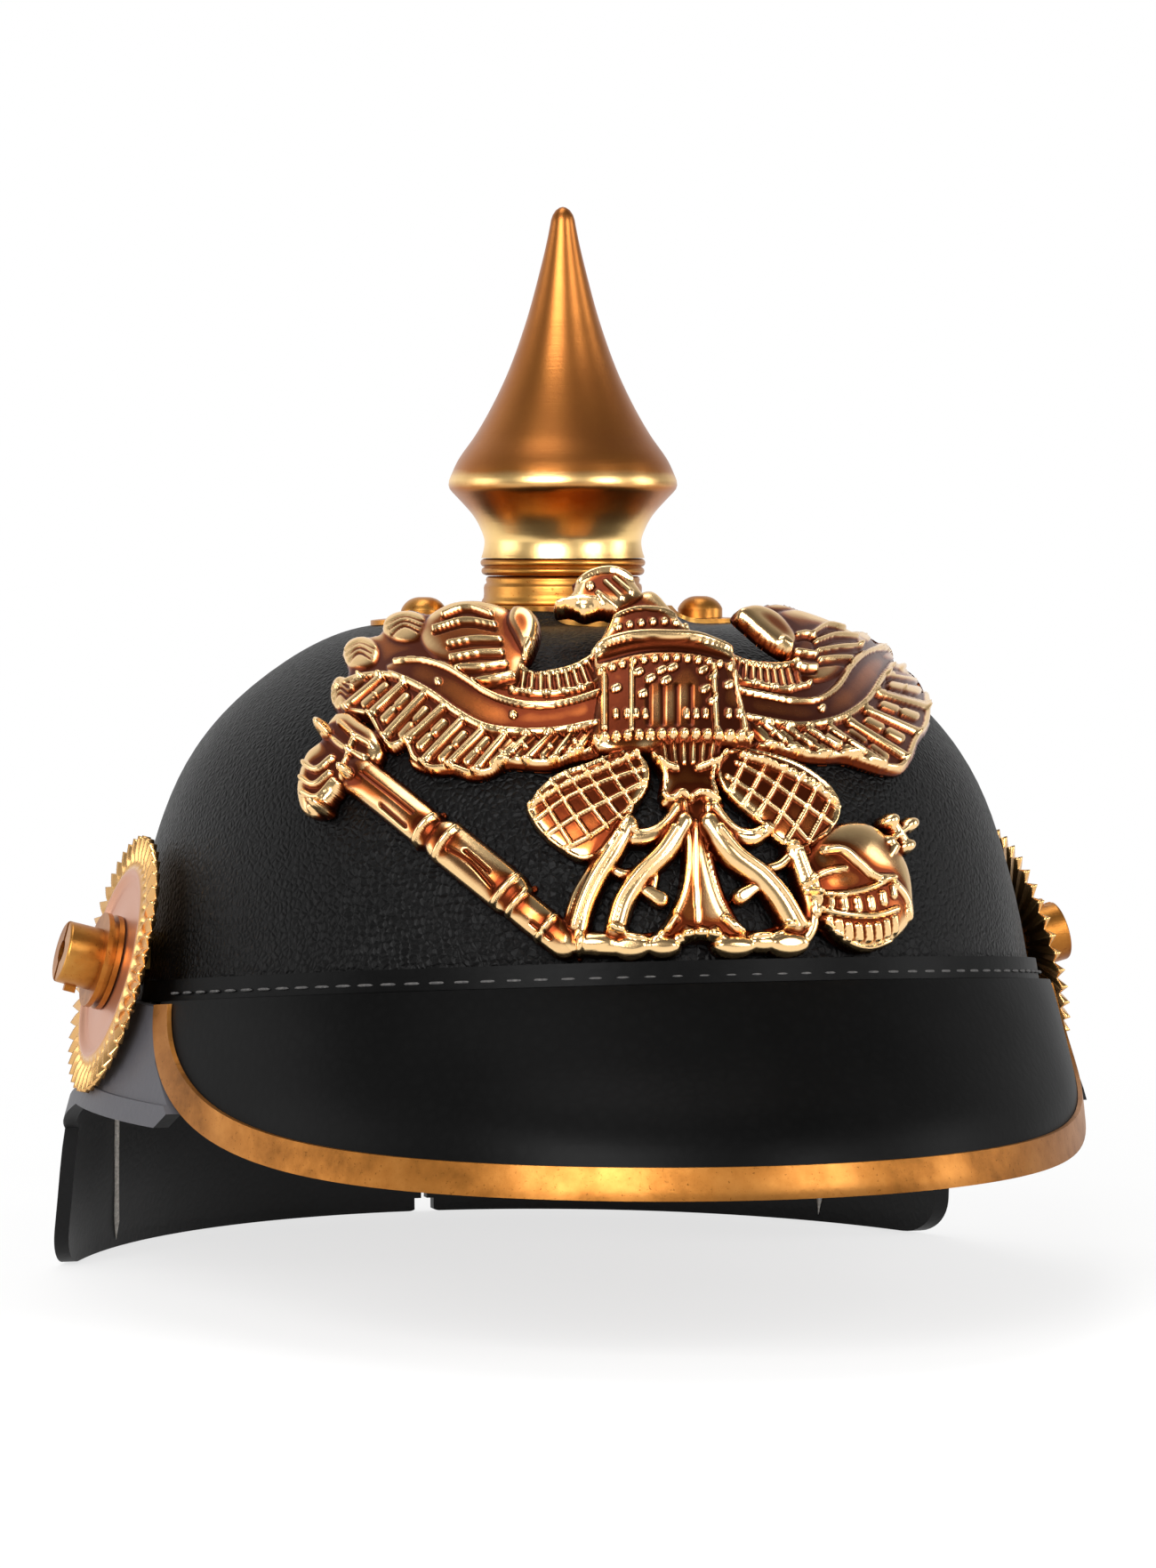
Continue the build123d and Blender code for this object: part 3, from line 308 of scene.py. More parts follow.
def smooth_rows(points, places):
    """Values of a table at places, on a smooth curve through its rows."""
    rows = np.array(points, float)
    rows = rows[np.argsort(rows[:, 0], kind="stable")]
    xs, ys = rows[:, 0], rows[:, 1:]
    slopes = np.gradient(ys, xs, axis=0)
    places = np.asarray(places, float)
    left = np.clip(np.searchsorted(xs, places) - 1, 0, len(xs) - 2)
    step = xs[left + 1] - xs[left]
    t = np.clip((places - xs[left]) / step, 0, 1)[..., None]
    step = step[..., None]
    return (
        ys[left] * (1 + 2 * t) * (1 - t) ** 2
        + slopes[left] * step * t * (1 - t) ** 2
        + ys[left + 1] * t ** 2 * (3 - 2 * t)
        + slopes[left + 1] * step * t ** 2 * (t - 1)
    )


def distances(points):
    """Distance along a line at each of its points, measured in its first two columns."""
    return np.concatenate([[0], np.cumsum(np.hypot(*np.diff(points, axis=0).T[:2]))])


def smooth_line(points, gap):
    """Points about a gap apart on a smooth curve through a list of points."""
    points = np.array(points, float)
    along = distances(points)
    count = max(int(along[-1] / gap), 2)
    return smooth_rows(np.column_stack([along, points]), np.linspace(0, along[-1], count + 1))


def spread(line, count):
    """Points at even distances along a line."""
    line = smooth_line(line, 3)
    along = distances(line)
    places = np.linspace(0, along[-1], count)
    return np.column_stack([np.interp(places, along, line[:, k]) for k in (0, 1)])


def circle(count):
    """Angles of a full turn in even steps."""
    return np.linspace(0, 2 * math.pi, count, endpoint=False)


def mesh_piece(name, points, faces, material, body, tone_and_painted_light=None):
    """Makes a mesh from points in metres and rides it on a body."""
    data = bpy.data.meshes.new(name)
    data.from_pydata(np.asarray(points).tolist(), [], np.asarray(faces).tolist())
    data.validate()
    data.materials.append(material)
    data.shade_smooth()
    if tone_and_painted_light is not None:
        values = np.asarray(tone_and_painted_light, np.float32)
        data.attributes.new("tone_and_painted_light", "FLOAT", "POINT").data.foreach_set("value", values)
    piece = put(name, data)
    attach(piece, body)
    return piece


def grid_faces(rows, columns, closed=False):
    """Quads of a grid of points, kept row by row, closed round its columns or open."""
    index = np.arange(rows * columns).reshape(rows, columns)
    if closed:
        index = np.column_stack([index, index[:, 0]])
    return np.stack(
        [index[:-1, :-1], index[:-1, 1:], index[1:, 1:], index[1:, :-1]], axis=-1
    ).reshape(-1, 4)


def lathe(rows):
    """Points and quads of a closed profile of radii and heights in mm, turned about the spike's axis."""
    ring = circle(LATHE_TURNS)
    radius, height = np.array(rows + rows[:1]).T[..., None]
    points = np.stack([radius * np.cos(ring), radius * np.sin(ring), height + 0 * ring], axis=-1)
    return points.reshape(-1, 3) * MM, grid_faces(len(rows) + 1, LATHE_TURNS, closed=True)


def dome_width(height):
    """Half width of the bowl at a height."""
    rows = [(BASE_HEIGHT + SKULL_HEIGHT * h, SKULL_HALF_WIDTH * w) for w, h in DOME_SHARES]
    return smooth_rows(rows, height)[..., 0]


# The surface that the front plate follows: the bowl, standing off it above the bend, as heights and half
# widths in mm
PLATE_WIDTHS = [
    (60.0, 95.3), (72.0, 93.4), (83.0, 91.3), (94.5, 88.2), (105.9, 84.0), (113.5, 79.8), (121.1, 73.8),
    (134.6, 61.0), (148.0, 48.3), (156.0, 40.7),
]
PLATE_LIFT = 0.5 * MM
fine_heights = np.linspace(PLATE_WIDTHS[0][0] * MM, PLATE_WIDTHS[-1][0] * MM, 400)
fine_widths = smooth_rows([(z * MM, w * MM) for z, w in PLATE_WIDTHS], fine_heights)[:, 0]

view_right = np.array([math.cos(CAMERA_AZIMUTH), math.sin(CAMERA_AZIMUTH), 0])
view_ahead = np.array(look.normalized())
view_up = np.cross(view_right, view_ahead)
PHOTO_LENS = LENS / SENSOR * PHOTO_WIDTH
PHOTO_AXIS = PHOTO_WIDTH * (0.5 - FRAME_SHIFT)
# Distances from the camera between which the plate's surface is looked for, in metres, and how often that
# stretch is halved
NEAREST = 1.0
FARTHEST = 1.19
HALVINGS = 26


def plate_place(across, down):
    """Points of the plate's surface that lie behind places in the photograph."""
    ray = (
        view_ahead
        + view_right * ((across - PHOTO_AXIS) / PHOTO_LENS)[..., None]
        + view_up * ((PHOTO_HEIGHT / 2 - down) / PHOTO_LENS)[..., None]
    )
    origin = np.array(camera.location)
    near, far = np.full(across.shape, NEAREST), np.full(across.shape, FARTHEST)
    for _ in range(HALVINGS):
        middle = (near + far) / 2
        x, y, z = np.moveaxis(origin + ray * middle[..., None], -1, 0)
        width = np.interp(z, fine_heights, fine_widths)
        form = (x / (width + PLATE_LIFT)) ** 2 + ((y + DOME_SHIFT) / (DOME_RATIO * width + PLATE_LIFT)) ** 2
        outside = form > 1
        near, far = np.where(outside, middle, near), np.where(outside, far, middle)
    return origin + ray * near[..., None]


# Feather: its shares of length and of half width, from root to tip
BLADE_SHAPE = ((0.0, 0.62), (0.45, 0.9), (0.8, 1.0), (0.93, 0.8), (1.0, 0.35))
# In the photograph's pixels: the gap between the points of a drawn line, the sheet's frame (left, right, top
# and foot), its grid step and a distance well outside its edge
LINE_GAP = 4
SHEET_FRAME = (334, 1050, 640, 1090)
GRID_STEP = 1.5
WELL_OUTSIDE = -50.0


class Relief:
    """Stamped sheet drawn with places and widths in the photograph's pixels and heights in mm.

    It keeps the height, the painted shade and the distance to the sheet's edge at each point of a grid.
    """

    def __init__(self, left, right, top, foot, step):
        self.step = step
        self.u, self.v = np.meshgrid(np.arange(left, right, step), np.arange(top, foot, step))
        self.height = np.zeros(self.u.shape)
        self.dull = np.zeros(self.u.shape)
        self.edge = np.full(self.u.shape, WELL_OUTSIDE)

    def near(self, line, reach):
        """Part of the sheet within reach of a line, and its distances to that line."""
        low, high = line.min(0) - reach, line.max(0) + reach
        rows = np.flatnonzero((self.v[:, 0] >= low[1]) & (self.v[:, 0] <= high[1]))
        columns = np.flatnonzero((self.u[0] >= low[0]) & (self.u[0] <= high[0]))
        window = np.s_[rows[0]:rows[-1] + 1, columns[0]:columns[-1] + 1]
        u, v = self.u[window], self.v[window]
        best = np.full(u.shape, 1e6)
        for a, b in zip(line[:-1], line[1:]):
            run = b - a
            t = np.clip(((u - a[0]) * run[0] + (v - a[1]) * run[1]) / max(run @ run, 1e-9), 0, 1)
            best = np.minimum(best, np.hypot(u - a[0] - t * run[0], v - a[1] - t * run[1]))
        return window, best

    def bar(self, points, width, smooth):
        """Part of the sheet near a line, its distances to the line and its shares of a round bar, squared."""
        line = smooth_line(points, LINE_GAP) if smooth else np.array(points, float)
        window, distance = self.near(line, width)
        return window, distance, np.clip(1 - (2 * distance / width) ** 2, 0, 1)

    def lay(self, window, inside, body, dull, signed):
        """Raises what is inside to a height, sets its painted shade and grows the sheet to it."""
        self.height[window] = np.where(inside, np.maximum(self.height[window], body), self.height[window])
        self.dull[window] = np.where(inside, dull, self.dull[window])
        self.edge[window] = np.maximum(self.edge[window], signed)

    def pillow(self, points, foot, rise, edge, dull=0.0):
        """Raised field with rounded sides, with painted shade if asked."""
        ring = smooth_line(points + points[:1], LINE_GAP)
        window, distance = self.near(ring, 3 * self.step)
        u, v = self.u[window], self.v[window]
        inside = np.zeros(u.shape, bool)
        for a, b in zip(ring[:-1], ring[1:]):
            if a[1] != b[1]:
                crossed = (a[1] > v) != (b[1] > v)
                inside ^= crossed & (u < (b[0] - a[0]) * (v - a[1]) / (b[1] - a[1]) + a[0])
        signed = np.where(inside, distance, -distance)
        side = 1 - np.clip(signed / edge, 0, 1)
        self.lay(window, inside, foot + rise * np.sqrt(np.clip(1 - side ** 2, 0, 1)), dull, signed)

    def oval(self, centre, wide, tall, count, foot, rise, edge):
        """Round or oval boss."""
        ring = [(centre[0] + wide * math.cos(a), centre[1] + tall * math.sin(a)) for a in circle(count)]
        self.pillow(ring, foot, rise, edge)

    def ridge(self, points, width, rise, smooth=True):
        """Half-round bar along a line, on top of what is there."""
        window, distance, share = self.bar(points, width, smooth)
        self.height[window] += rise * np.sqrt(share)
        # A ridge clears the painted shade under it
        self.dull[window] *= 1 - share
        self.edge[window] = np.maximum(self.edge[window], width / 2 - distance)

    def rod(self, points, width, foot, rise, smooth=True, dull=0.0):
        """Half-round bar over what is there, up to its own height, with painted shade if asked."""
        window, distance, share = self.bar(points, width, smooth)
        inside = distance < width / 2
        self.lay(window, inside, foot + rise * np.sqrt(share), dull, width / 2 - distance)

    def groove(self, points, width, depth, smooth=True):
        """Round-bottomed line pressed in."""
        window, _, share = self.bar(points, width, smooth)
        self.height[window] -= depth * share

    def beads(self, points, pitch, width, rise):
        """Row of round beads."""
        for place in smooth_line(points, pitch):
            self.ridge([place, place + (0.1, 0)], width, rise, smooth=False)

    def blade(self, root, tip, width, foot, rise):
        """Feather: a rounded blade."""
        root, ahead = np.array(root, float), np.array(tip, float) - root
        aside = np.array([-ahead[1], ahead[0]]) / np.hypot(*ahead)
        outline = [
            tuple(root + ahead * share + aside * (side * width / 2 * half))
            for side in (1, -1) for share, half in BLADE_SHAPE[::side]
        ]
        self.pillow(outline, foot, rise, width / 3)


def draw_feathers(plate, roots, hem, count):
    """Row of short feathers under the ribbon: a bright bar, then two pressed ovals, and a scalloped hem."""
    for number, (root, tip) in enumerate(zip(spread(roots, count), spread(hem, count + 1)[1:])):
        way = tip - root
        if number % 2:
            for share in (0.36, 0.7):
                middle = root + share * way
                plate.ridge([middle - 0.1 * way, middle + 0.1 * way], 11, 0.9, smooth=False)
        else:
            plate.ridge([root + 0.1 * way, tip - 0.04 * way], 9.5, 1.1, smooth=False)
            plate.groove([root + 0.12 * way + (6, 0), tip - 0.1 * way + (6, 0)], 4, 0.35, smooth=False)
    plate.ridge(hem, 6, 0.8)


def draw_lobe(plate, centre, wide, tall):
    """Rolled feather end: a round boss with curved creases."""
    plate.oval(centre, wide, tall, 14, 1.2, 1.3, wide * 0.5)
    x, y = centre
    for share in (0.25, 0.55, 0.85):
        reach = wide * (0.8 - 0.3 * share)
        plate.groove(
            [(x - reach, y + tall * (share - 0.3)), (x, y + tall * (share - 0.75)),
             (x + reach, y + tall * (share - 0.45))],
            4, 0.4,
        )


def draw_wing(plate, wing):
    """One wing: its sheet, feathers, ribbon, bars, fan and lobes."""
    plate.pillow(wing["outline"], 0.9, 0.7, 8)
    draw_feathers(plate, wing["ribbon_foot"], wing["hem"], wing["feathers"])
    for centre, wide, tall in wing["lobes"]:
        draw_lobe(plate, centre, wide, tall)
    plate.pillow(wing["fan"], 1.4, 1.2, 14)
    for line in wing["fan_ribs"]:
        plate.ridge(line, 5, 0.8)
        plate.groove([(x, y + 6) for x, y in line], 5, 0.4)
    # The hook carries painted shade
    plate.pillow(wing["hook"], 2.0, 1.8, 9, dull=0.3)
    plate.ridge(wing["hook_tip"], 9, 0.7)
    tops, feet = spread(wing["arc"], 10), spread(wing["inner_bar"], 10)
    for top, foot in zip(tops[1:], feet[:-1]):
        plate.ridge([top * 0.85 + foot * 0.15, foot * 0.85 + top * 0.15], 5, 0.6, smooth=False)
    plate.ridge(wing["arc"], 7, 1.0)
    plate.ridge(wing["inner_bar"], 6, 0.8)
    plate.beads(wing["inner_bar"], 19, 8, 0.5)
    plate.pillow(wing["ribbon"], 1.9, 0.35, 7)
    plate.ridge(wing["ribbon_top"], 7.5, 1.1)
    plate.ridge(wing["ribbon_foot"], 7.5, 1.1)
    for x, y in wing["studs"]:
        plate.ridge([(x, y), (x + 0.1, y)], 8, 0.9, smooth=False)


LEFT_WING = {
    "outline": [
        (674, 735), (641, 755), (593, 755), (593, 748), (608, 715), (598, 694), (587, 692), (541, 680),
        (512, 682), (484, 694), (464, 690), (438, 700), (432, 715), (403, 723), (390, 740), (394, 763),
        (379, 778), (376, 795), (384, 808), (415, 815), (432, 841), (443, 850), (458, 845), (464, 864),
        (489, 874), (512, 874), (530, 880), (551, 877), (573, 867), (593, 868), (624, 868), (644, 861),
        (674, 855),
    ],
    "hem": [
        (664, 849), (642, 855), (622, 862), (593, 862), (573, 861), (551, 872), (530, 873), (512, 867),
        (489, 868), (469, 857), (460, 840), (443, 844), (434, 834), (419, 810), (390, 802), (382, 793),
        (385, 779),
    ],
    "feathers": 23,
    "lobes": [((389, 786), 13, 20), ((411, 741), 21, 20), ((461, 711), 27, 19)],
    "fan": [
        (596, 748), (590, 712), (576, 694), (541, 682), (507, 686), (486, 700), (476, 722), (488, 744),
        (512, 762), (545, 776), (580, 780),
    ],
    "fan_ribs": [
        [(556, 700), (530, 692), (504, 700)], [(560, 712), (530, 707), (494, 716)],
        [(566, 729), (540, 728), (510, 733)], [(568, 743), (542, 744), (512, 749)],
        [(572, 756), (548, 759), (518, 760)], [(580, 768), (560, 772), (536, 774)],
    ],
    "hook_tip": [(594, 746), (599, 736)],
    "hook": [(594, 751), (606, 730), (608, 708), (598, 694), (582, 692), (574, 706), (582, 728)],
    "arc": [(668, 744), (644, 757), (618, 762), (592, 759)],
    "inner_bar": [(672, 775), (646, 783), (618, 787), (578, 783)],
    "ribbon": [
        (677, 785), (640, 797), (618, 800), (580, 797), (553, 787), (530, 772), (505, 757), (480, 750),
        (454, 751), (439, 757), (446, 768), (462, 773), (488, 787), (517, 808), (549, 825), (580, 830),
        (622, 830), (674, 821),
    ],
    "ribbon_top": [
        (677, 786), (640, 797), (618, 801), (580, 798), (553, 788), (530, 773), (505, 758), (478, 750),
        (450, 751),
    ],
    "ribbon_foot": [
        (673, 822), (622, 831), (580, 831), (549, 826), (517, 809), (488, 788), (462, 774), (438, 766),
        (412, 768),
    ],
    "studs": [(580, 812), (497, 775)],
}
RIGHT_WING = {
    "outline": [
        (816, 740), (832, 748), (861, 750), (884, 748), (867, 738), (838, 715), (821, 696), (838, 690),
        (872, 683), (904, 693), (935, 707), (958, 717), (970, 715), (987, 723), (1003, 739), (1002, 749),
        (1021, 755), (1036, 772), (1042, 801), (1040, 824), (1029, 840), (1022, 858), (1010, 873), (990, 873),
        (968, 867), (947, 861), (921, 861), (898, 859), (875, 854), (820, 850),
    ],
    "hem": [
        (850, 845), (875, 848), (898, 853), (921, 855), (947, 855), (966, 860), (988, 866), (1006, 866),
        (1016, 852), (1023, 836), (1034, 820), (1036, 800), (1030, 775), (1016, 762),
    ],
    "feathers": 18,
    "lobes": [((990, 738), 14, 15), ((958, 724), 15, 9)],
    "fan": [
        (884, 748), (864, 716), (866, 698), (884, 692), (912, 698), (945, 712), (966, 728), (960, 748),
        (935, 768), (905, 774), (890, 764),
    ],
    "fan_ribs": [
        [(906, 722), (922, 712), (940, 714)], [(908, 732), (930, 724), (954, 724)],
        [(912, 742), (934, 738), (958, 736)], [(914, 752), (932, 750), (948, 750)],
        [(888, 724), (898, 722), (908, 726)], [(888, 742), (898, 744), (910, 746)],
        [(890, 756), (900, 760), (910, 760)],
    ],
    "hook_tip": [(880, 740), (872, 734)],
    "hook": [(882, 745), (866, 736), (840, 715), (823, 697), (838, 691), (862, 697), (880, 714), (888, 730)],
    "arc": [(822, 746), (845, 753), (868, 756), (888, 752)],
    "inner_bar": [(826, 773), (850, 777), (880, 782), (905, 776)],
    "ribbon": [
        (826, 784), (860, 791), (888, 796), (915, 794), (934, 782), (950, 757), (966, 742), (982, 737),
        (1000, 743), (990, 755), (982, 772), (968, 795), (945, 812), (918, 821), (890, 824), (862, 821),
        (832, 814),
    ],
    "ribbon_top": [
        (826, 785), (860, 791), (888, 796), (915, 794), (934, 781), (950, 757), (966, 742), (984, 737),
        (1001, 744),
    ],
    "ribbon_foot": [
        (832, 815), (862, 821), (890, 825), (918, 822), (945, 813), (968, 796), (984, 772), (994, 756),
    ],
    "studs": [(918, 805), (958, 735)],
}


def draw_leg(plate, outline, long_lines, cross_lines, rim):
    """One thigh: a flat leaf with a latticed face and a toothed border."""
    plate.pillow(outline, 1.5, 1.0, 10)
    for line in long_lines + cross_lines:
        plate.ridge(line, 4.2, 0.6)
    plate.ridge(rim, 6, 0.8)
    plate.beads(rim, 11, 8, 0.5)
    ring = smooth_line(outline + outline[:1], 5)
    centre = ring.mean(0)
    plate.ridge(centre + (ring - centre) * 0.94, 4.5, 0.6, smooth=False)


def draw_eagle():
    """The whole front plate as one relief."""
    plate = Relief(*SHEET_FRAME, GRID_STEP)
    draw_wing(plate, LEFT_WING)
    draw_wing(plate, RIGHT_WING)
    # Sceptre: a staff of swelling lengths with rings between them, and its crested head. All lengths but the
    # first carry painted shade
    for line, width, foot, rise, dull in (
        ([(690, 1064), (628, 1061)], 29, 1.6, 2.4, 0),
        ([(636, 1060), (610, 1040), (586, 1020)], 41, 1.4, 2.9, 0.4),
        ([(590, 1022), (564, 999)], 31, 1.4, 2.6, 0.4),
        ([(574, 1006), (540, 978), (508, 952)], 52, 1.5, 3.2, 0.4),
        ([(508, 953), (478, 934)], 29, 1.5, 2.4, 0.4),
        ([(484, 936), (450, 908), (410, 878)], 45, 1.4, 3.0, 0.4),
    ):
        plate.rod(line, width, foot, rise, dull=dull)
    for line in (
        [(602, 1000), (574, 1032)], [(588, 988), (560, 1020)], [(522, 934), (496, 970)],
        [(500, 918), (472, 954)], [(628, 1032), (606, 1060)], [(656, 1050), (652, 1078)],
    ):
        plate.ridge(line, 7, 1.0, smooth=False)
    for line in (
        [(560, 1002), (534, 974), (514, 962)], [(556, 986), (532, 964)], [(474, 922), (446, 900), (420, 880)],
        [(466, 936), (440, 914)], [(622, 1058), (602, 1042)],
    ):
        plate.groove(line, 6, 0.45)
    crest = [
        (384, 809), (374, 822), (370, 836), (352, 852), (343, 876), (341, 898), (350, 920), (366, 923),
        (378, 913), (388, 896), (408, 888), (424, 872), (436, 850), (432, 834), (412, 818), (398, 808),
    ]
    plate.pillow(crest, 1.4, 1.8, 12)
    for line in (
        [(352, 866), (366, 874), (384, 862)], [(350, 882), (364, 890), (382, 878)],
        [(352, 898), (366, 904), (386, 886)], [(360, 915), (374, 908), (390, 890)],
        [(380, 838), (398, 852), (420, 862)], [(392, 824), (408, 838), (426, 848)],
        [(408, 840), (402, 858), (396, 884)],
    ):
        plate.ridge(line, 7, 0.9)
    for x, y, width, rise in ((376, 834, 15, 1.6), (372, 914, 13, 1.3), (404, 880, 12, 1.3)):
        plate.beads([(x, y), (x + 1, y + 1)], 16, width, rise)
    # Orb: a ball with a smooth cap, two bands with teeth and a ribbed foot, under a small cross
    orb = [
        (891, 997), (900, 966), (920, 938), (944, 928), (968, 929), (996, 950), (1012, 975), (1018, 1005),
        (1016, 1038), (996, 1062), (968, 1073), (938, 1062), (914, 1036), (897, 1014),
    ]
    plate.pillow(orb, 1.3, 3.6, 44)
    for line, width, rise in (
        ([(916, 962), (928, 962), (948, 978), (968, 994), (984, 994)], 9, 1.3),
        ([(894, 1000), (914, 988), (934, 984)], 7, 1.0),
        ([(896, 1006), (922, 1012), (952, 1008), (982, 996)], 7, 1.1),
        ([(910, 1026), (940, 1034), (972, 1034), (990, 1028)], 7, 1.0),
        ([(988, 1000), (1004, 1016), (1010, 1036)], 9, 0.9),
    ):
        plate.ridge(line, width, rise)
    for line, count, tooth, width, rise in (
        ([(908, 1014), (936, 1022), (968, 1020), (986, 1008)], 7, (1, 5), 8, 0.8),
        ([(924, 1044), (946, 1052), (972, 1052), (990, 1044)], 8, (2, 7), 7, 0.9),
    ):
        for place in spread(line, count):
            plate.ridge([place - tooth, place + tooth], width, rise, smooth=False)
    plate.ridge([(914, 1036), (938, 1060), (966, 1070), (990, 1062)], 7, 0.8)
    for angle in (-0.62, 0.95, 2.52, 4.09):
        x, y = 1000 + 15 * math.cos(angle), 942 + 17 * math.sin(angle)
        plate.rod([(1000, 942), (x, y)], 12, 1.8, 2.0, smooth=False)
        plate.rod([(x, y), (x + 0.1, y)], 18, 1.8, 2.6, smooth=False)
    plate.rod([(992, 958), (984, 972)], 16, 2.2, 2.2, smooth=False)
    # Tail: a flaring stem, broad curling branches with leaves, and a scalloped foot
    stem = [
        (762, 902), (768, 940), (766, 986), (757, 1020), (736, 1050), (724, 1070), (784, 1062), (846, 1070),
        (832, 1050), (812, 1020), (800, 985), (792, 940), (796, 902),
    ]
    plate.pillow(stem, 1.4, 1.4, 14)
    plate.ridge([(765, 910), (770, 960), (766, 1004), (748, 1048)], 10, 1.3)
    plate.ridge([(793, 914), (797, 960), (808, 1004), (830, 1048)], 10, 1.3)
    plate.ridge([(779, 930), (779, 990), (782, 1040)], 6, 0.5)
    # The branches carry a little painted shade
    for line, width in (
        ([(764, 902), (754, 926), (734, 943), (712, 946), (698, 938)], 20),
        ([(766, 930), (746, 962), (720, 988), (702, 1016), (692, 1050)], 27),
        ([(706, 932), (690, 962), (670, 994), (657, 1024), (650, 1058)], 26),
        ([(690, 948), (666, 984), (650, 1012), (640, 1044)], 18),
        ([(684, 978), (702, 986), (722, 978), (736, 964)], 15),
        ([(792, 902), (804, 926), (824, 944), (844, 946), (858, 936)], 20),
        ([(794, 930), (822, 968), (848, 988), (868, 1010), (888, 1044)], 27),
        ([(886, 956), (900, 996), (906, 1024), (903, 1048), (890, 1066)], 22),
        ([(830, 968), (852, 980), (872, 976), (888, 960)], 15),
        ([(736, 982), (732, 1006)], 14),
        ([(838, 984), (842, 1000)], 14),
    ):
        plate.rod(line, width, 1.0, width * 0.12, dull=0.12)
    for line in (
        [(754, 938), (736, 964), (712, 988), (694, 1014), (684, 1046)],
        [(694, 944), (678, 970), (660, 1004), (646, 1044)],
        [(806, 938), (830, 964), (856, 984), (876, 1008), (896, 1042)],
        [(892, 964), (904, 1000), (911, 1030)],
        [(756, 916), (738, 934), (714, 938)], [(802, 914), (822, 934), (846, 938)],
    ):
        plate.ridge(line, 11, 0.9)
    for root, tip in (((716, 1000), (750, 1018)), ((854, 994), (822, 1016))):
        plate.blade(root, tip, 20, 1.2, 1.9)
    for centre, wide, tall in (
        ((668, 1063), 28, 14), ((708, 1066), 26, 16), ((744, 1066), 22, 14), ((822, 1066), 26, 14),
        ((852, 1062), 20, 13), ((880, 1063), 26, 16),
    ):
        plate.oval(centre, wide, tall, 12, 1.2, 3.0, 14)
    plate.ridge([(690, 1046), (716, 1054), (740, 1052), (758, 1036)], 10, 1.1)
    plate.ridge([(812, 1036), (830, 1050), (852, 1052), (880, 1044)], 10, 1.1)
    plate.rod([(760, 1058), (785, 1052), (810, 1059)], 18, 1.4, 2.3)
    plate.beads([(770, 1052), (800, 1052)], 27, 15, 1.3)
    # Thighs and feet
    draw_leg(
        plate,
        [
            (592, 915), (606, 893), (625, 877), (660, 864), (693, 853), (716, 852), (731, 870), (729, 890),
            (716, 912), (702, 934), (684, 958), (660, 973), (627, 958), (604, 936),
        ],
        [
            [(604, 928), (634, 906), (668, 890), (722, 872)],
            [(616, 944), (648, 924), (684, 906), (724, 886)],
            [(634, 960), (668, 942), (700, 920), (716, 906)],
        ],
        [
            [(622, 884), (640, 912), (664, 946)], [(638, 876), (662, 908), (684, 936)],
            [(656, 870), (678, 900), (698, 926)], [(678, 862), (694, 886), (710, 910)],
            [(700, 856), (712, 874), (722, 888)], [(608, 898), (626, 926), (644, 954)],
        ],
        [(598, 912), (608, 906), (640, 888), (668, 876), (698, 864), (716, 856)],
    )
    draw_leg(
        plate,
        [
            (806, 852), (828, 848), (860, 853), (884, 860), (913, 876), (932, 894), (940, 912), (936, 930),
            (920, 946), (890, 962), (868, 950), (846, 928), (822, 908), (804, 886), (800, 868),
        ],
        [
            [(824, 866), (852, 880), (888, 904), (926, 930)],
            [(814, 880), (848, 902), (880, 926), (902, 950)],
            [(846, 862), (880, 878), (912, 896), (934, 914)],
        ],
        [
            [(858, 864), (846, 886), (832, 910)], [(876, 872), (862, 898), (846, 922)],
            [(894, 880), (880, 908), (862, 938)], [(912, 890), (898, 918), (878, 950)],
            [(926, 904), (914, 928), (902, 950)], [(838, 856), (826, 878), (818, 896)],
        ],
        [(830, 858), (856, 866), (884, 876), (910, 890), (930, 908)],
    )
    for x, y, turn in ((690, 950, 1), (888, 956, -1)):
        for angle in (-0.9, -0.2, 0.5):
            tip = (x - 20 * turn * math.cos(angle), y + 20 * math.sin(angle) + 8)
            plate.blade((x, y), tip, 11, 1.2, 1.3)
    # Waist, chest and neck
    waist = [
        (722, 838), (812, 838), (806, 862), (800, 882), (808, 906), (776, 912), (742, 910), (744, 884),
        (730, 860),
    ]
    plate.pillow(waist, 1.5, 1.2, 12)
    for x in range(744, 800, 11):
        plate.ridge([(x, 844), (x + (x - 772) * -0.12, 866)], 4.5, 0.5)
    for line in (
        [(732, 858), (744, 872), (742, 900)], [(742, 900), (752, 905), (764, 898), (774, 906)],
        [(812, 856), (800, 872), (802, 898)], [(774, 906), (784, 898), (796, 902), (810, 908)],
        [(738, 866), (758, 872)], [(782, 872), (804, 864)],
    ):
        plate.ridge(line, 7, 1.1)
    chest = [
        (690, 694), (712, 678), (730, 674), (752, 694), (768, 713), (797, 731), (818, 742), (826, 790),
        (842, 842), (772, 846), (668, 846), (672, 790), (669, 742), (680, 718),
    ]
    plate.pillow(chest, 2.0, 1.5, 12)
    plate.groove([(676, 754), (718, 743), (775, 743), (814, 753)], 13, 0.8)
    plate.ridge([(669, 741), (708, 730), (750, 729), (797, 734), (818, 741)], 9, 1.4)
    plate.beads([(694, 719), (717, 715), (745, 713), (768, 716)], 11, 8, 0.9)
    plate.ridge([(690, 706), (716, 698), (742, 700), (756, 704)], 4.5, 0.5)
    plate.beads([(676, 768), (717, 757), (765, 755), (815, 764)], 11, 8, 1.1)
    plate.beads([(668, 843), (717, 839), (760, 838), (803, 839), (840, 840)], 12, 10, 1.2)
    for line in (
        [(679, 774), (680, 832)], [(709, 764), (709, 834)], [(797, 764), (801, 834)],
        [(822, 770), (832, 834)],
    ):
        plate.ridge(line, 6, 1.0)
    for x in range(728, 788, 15):
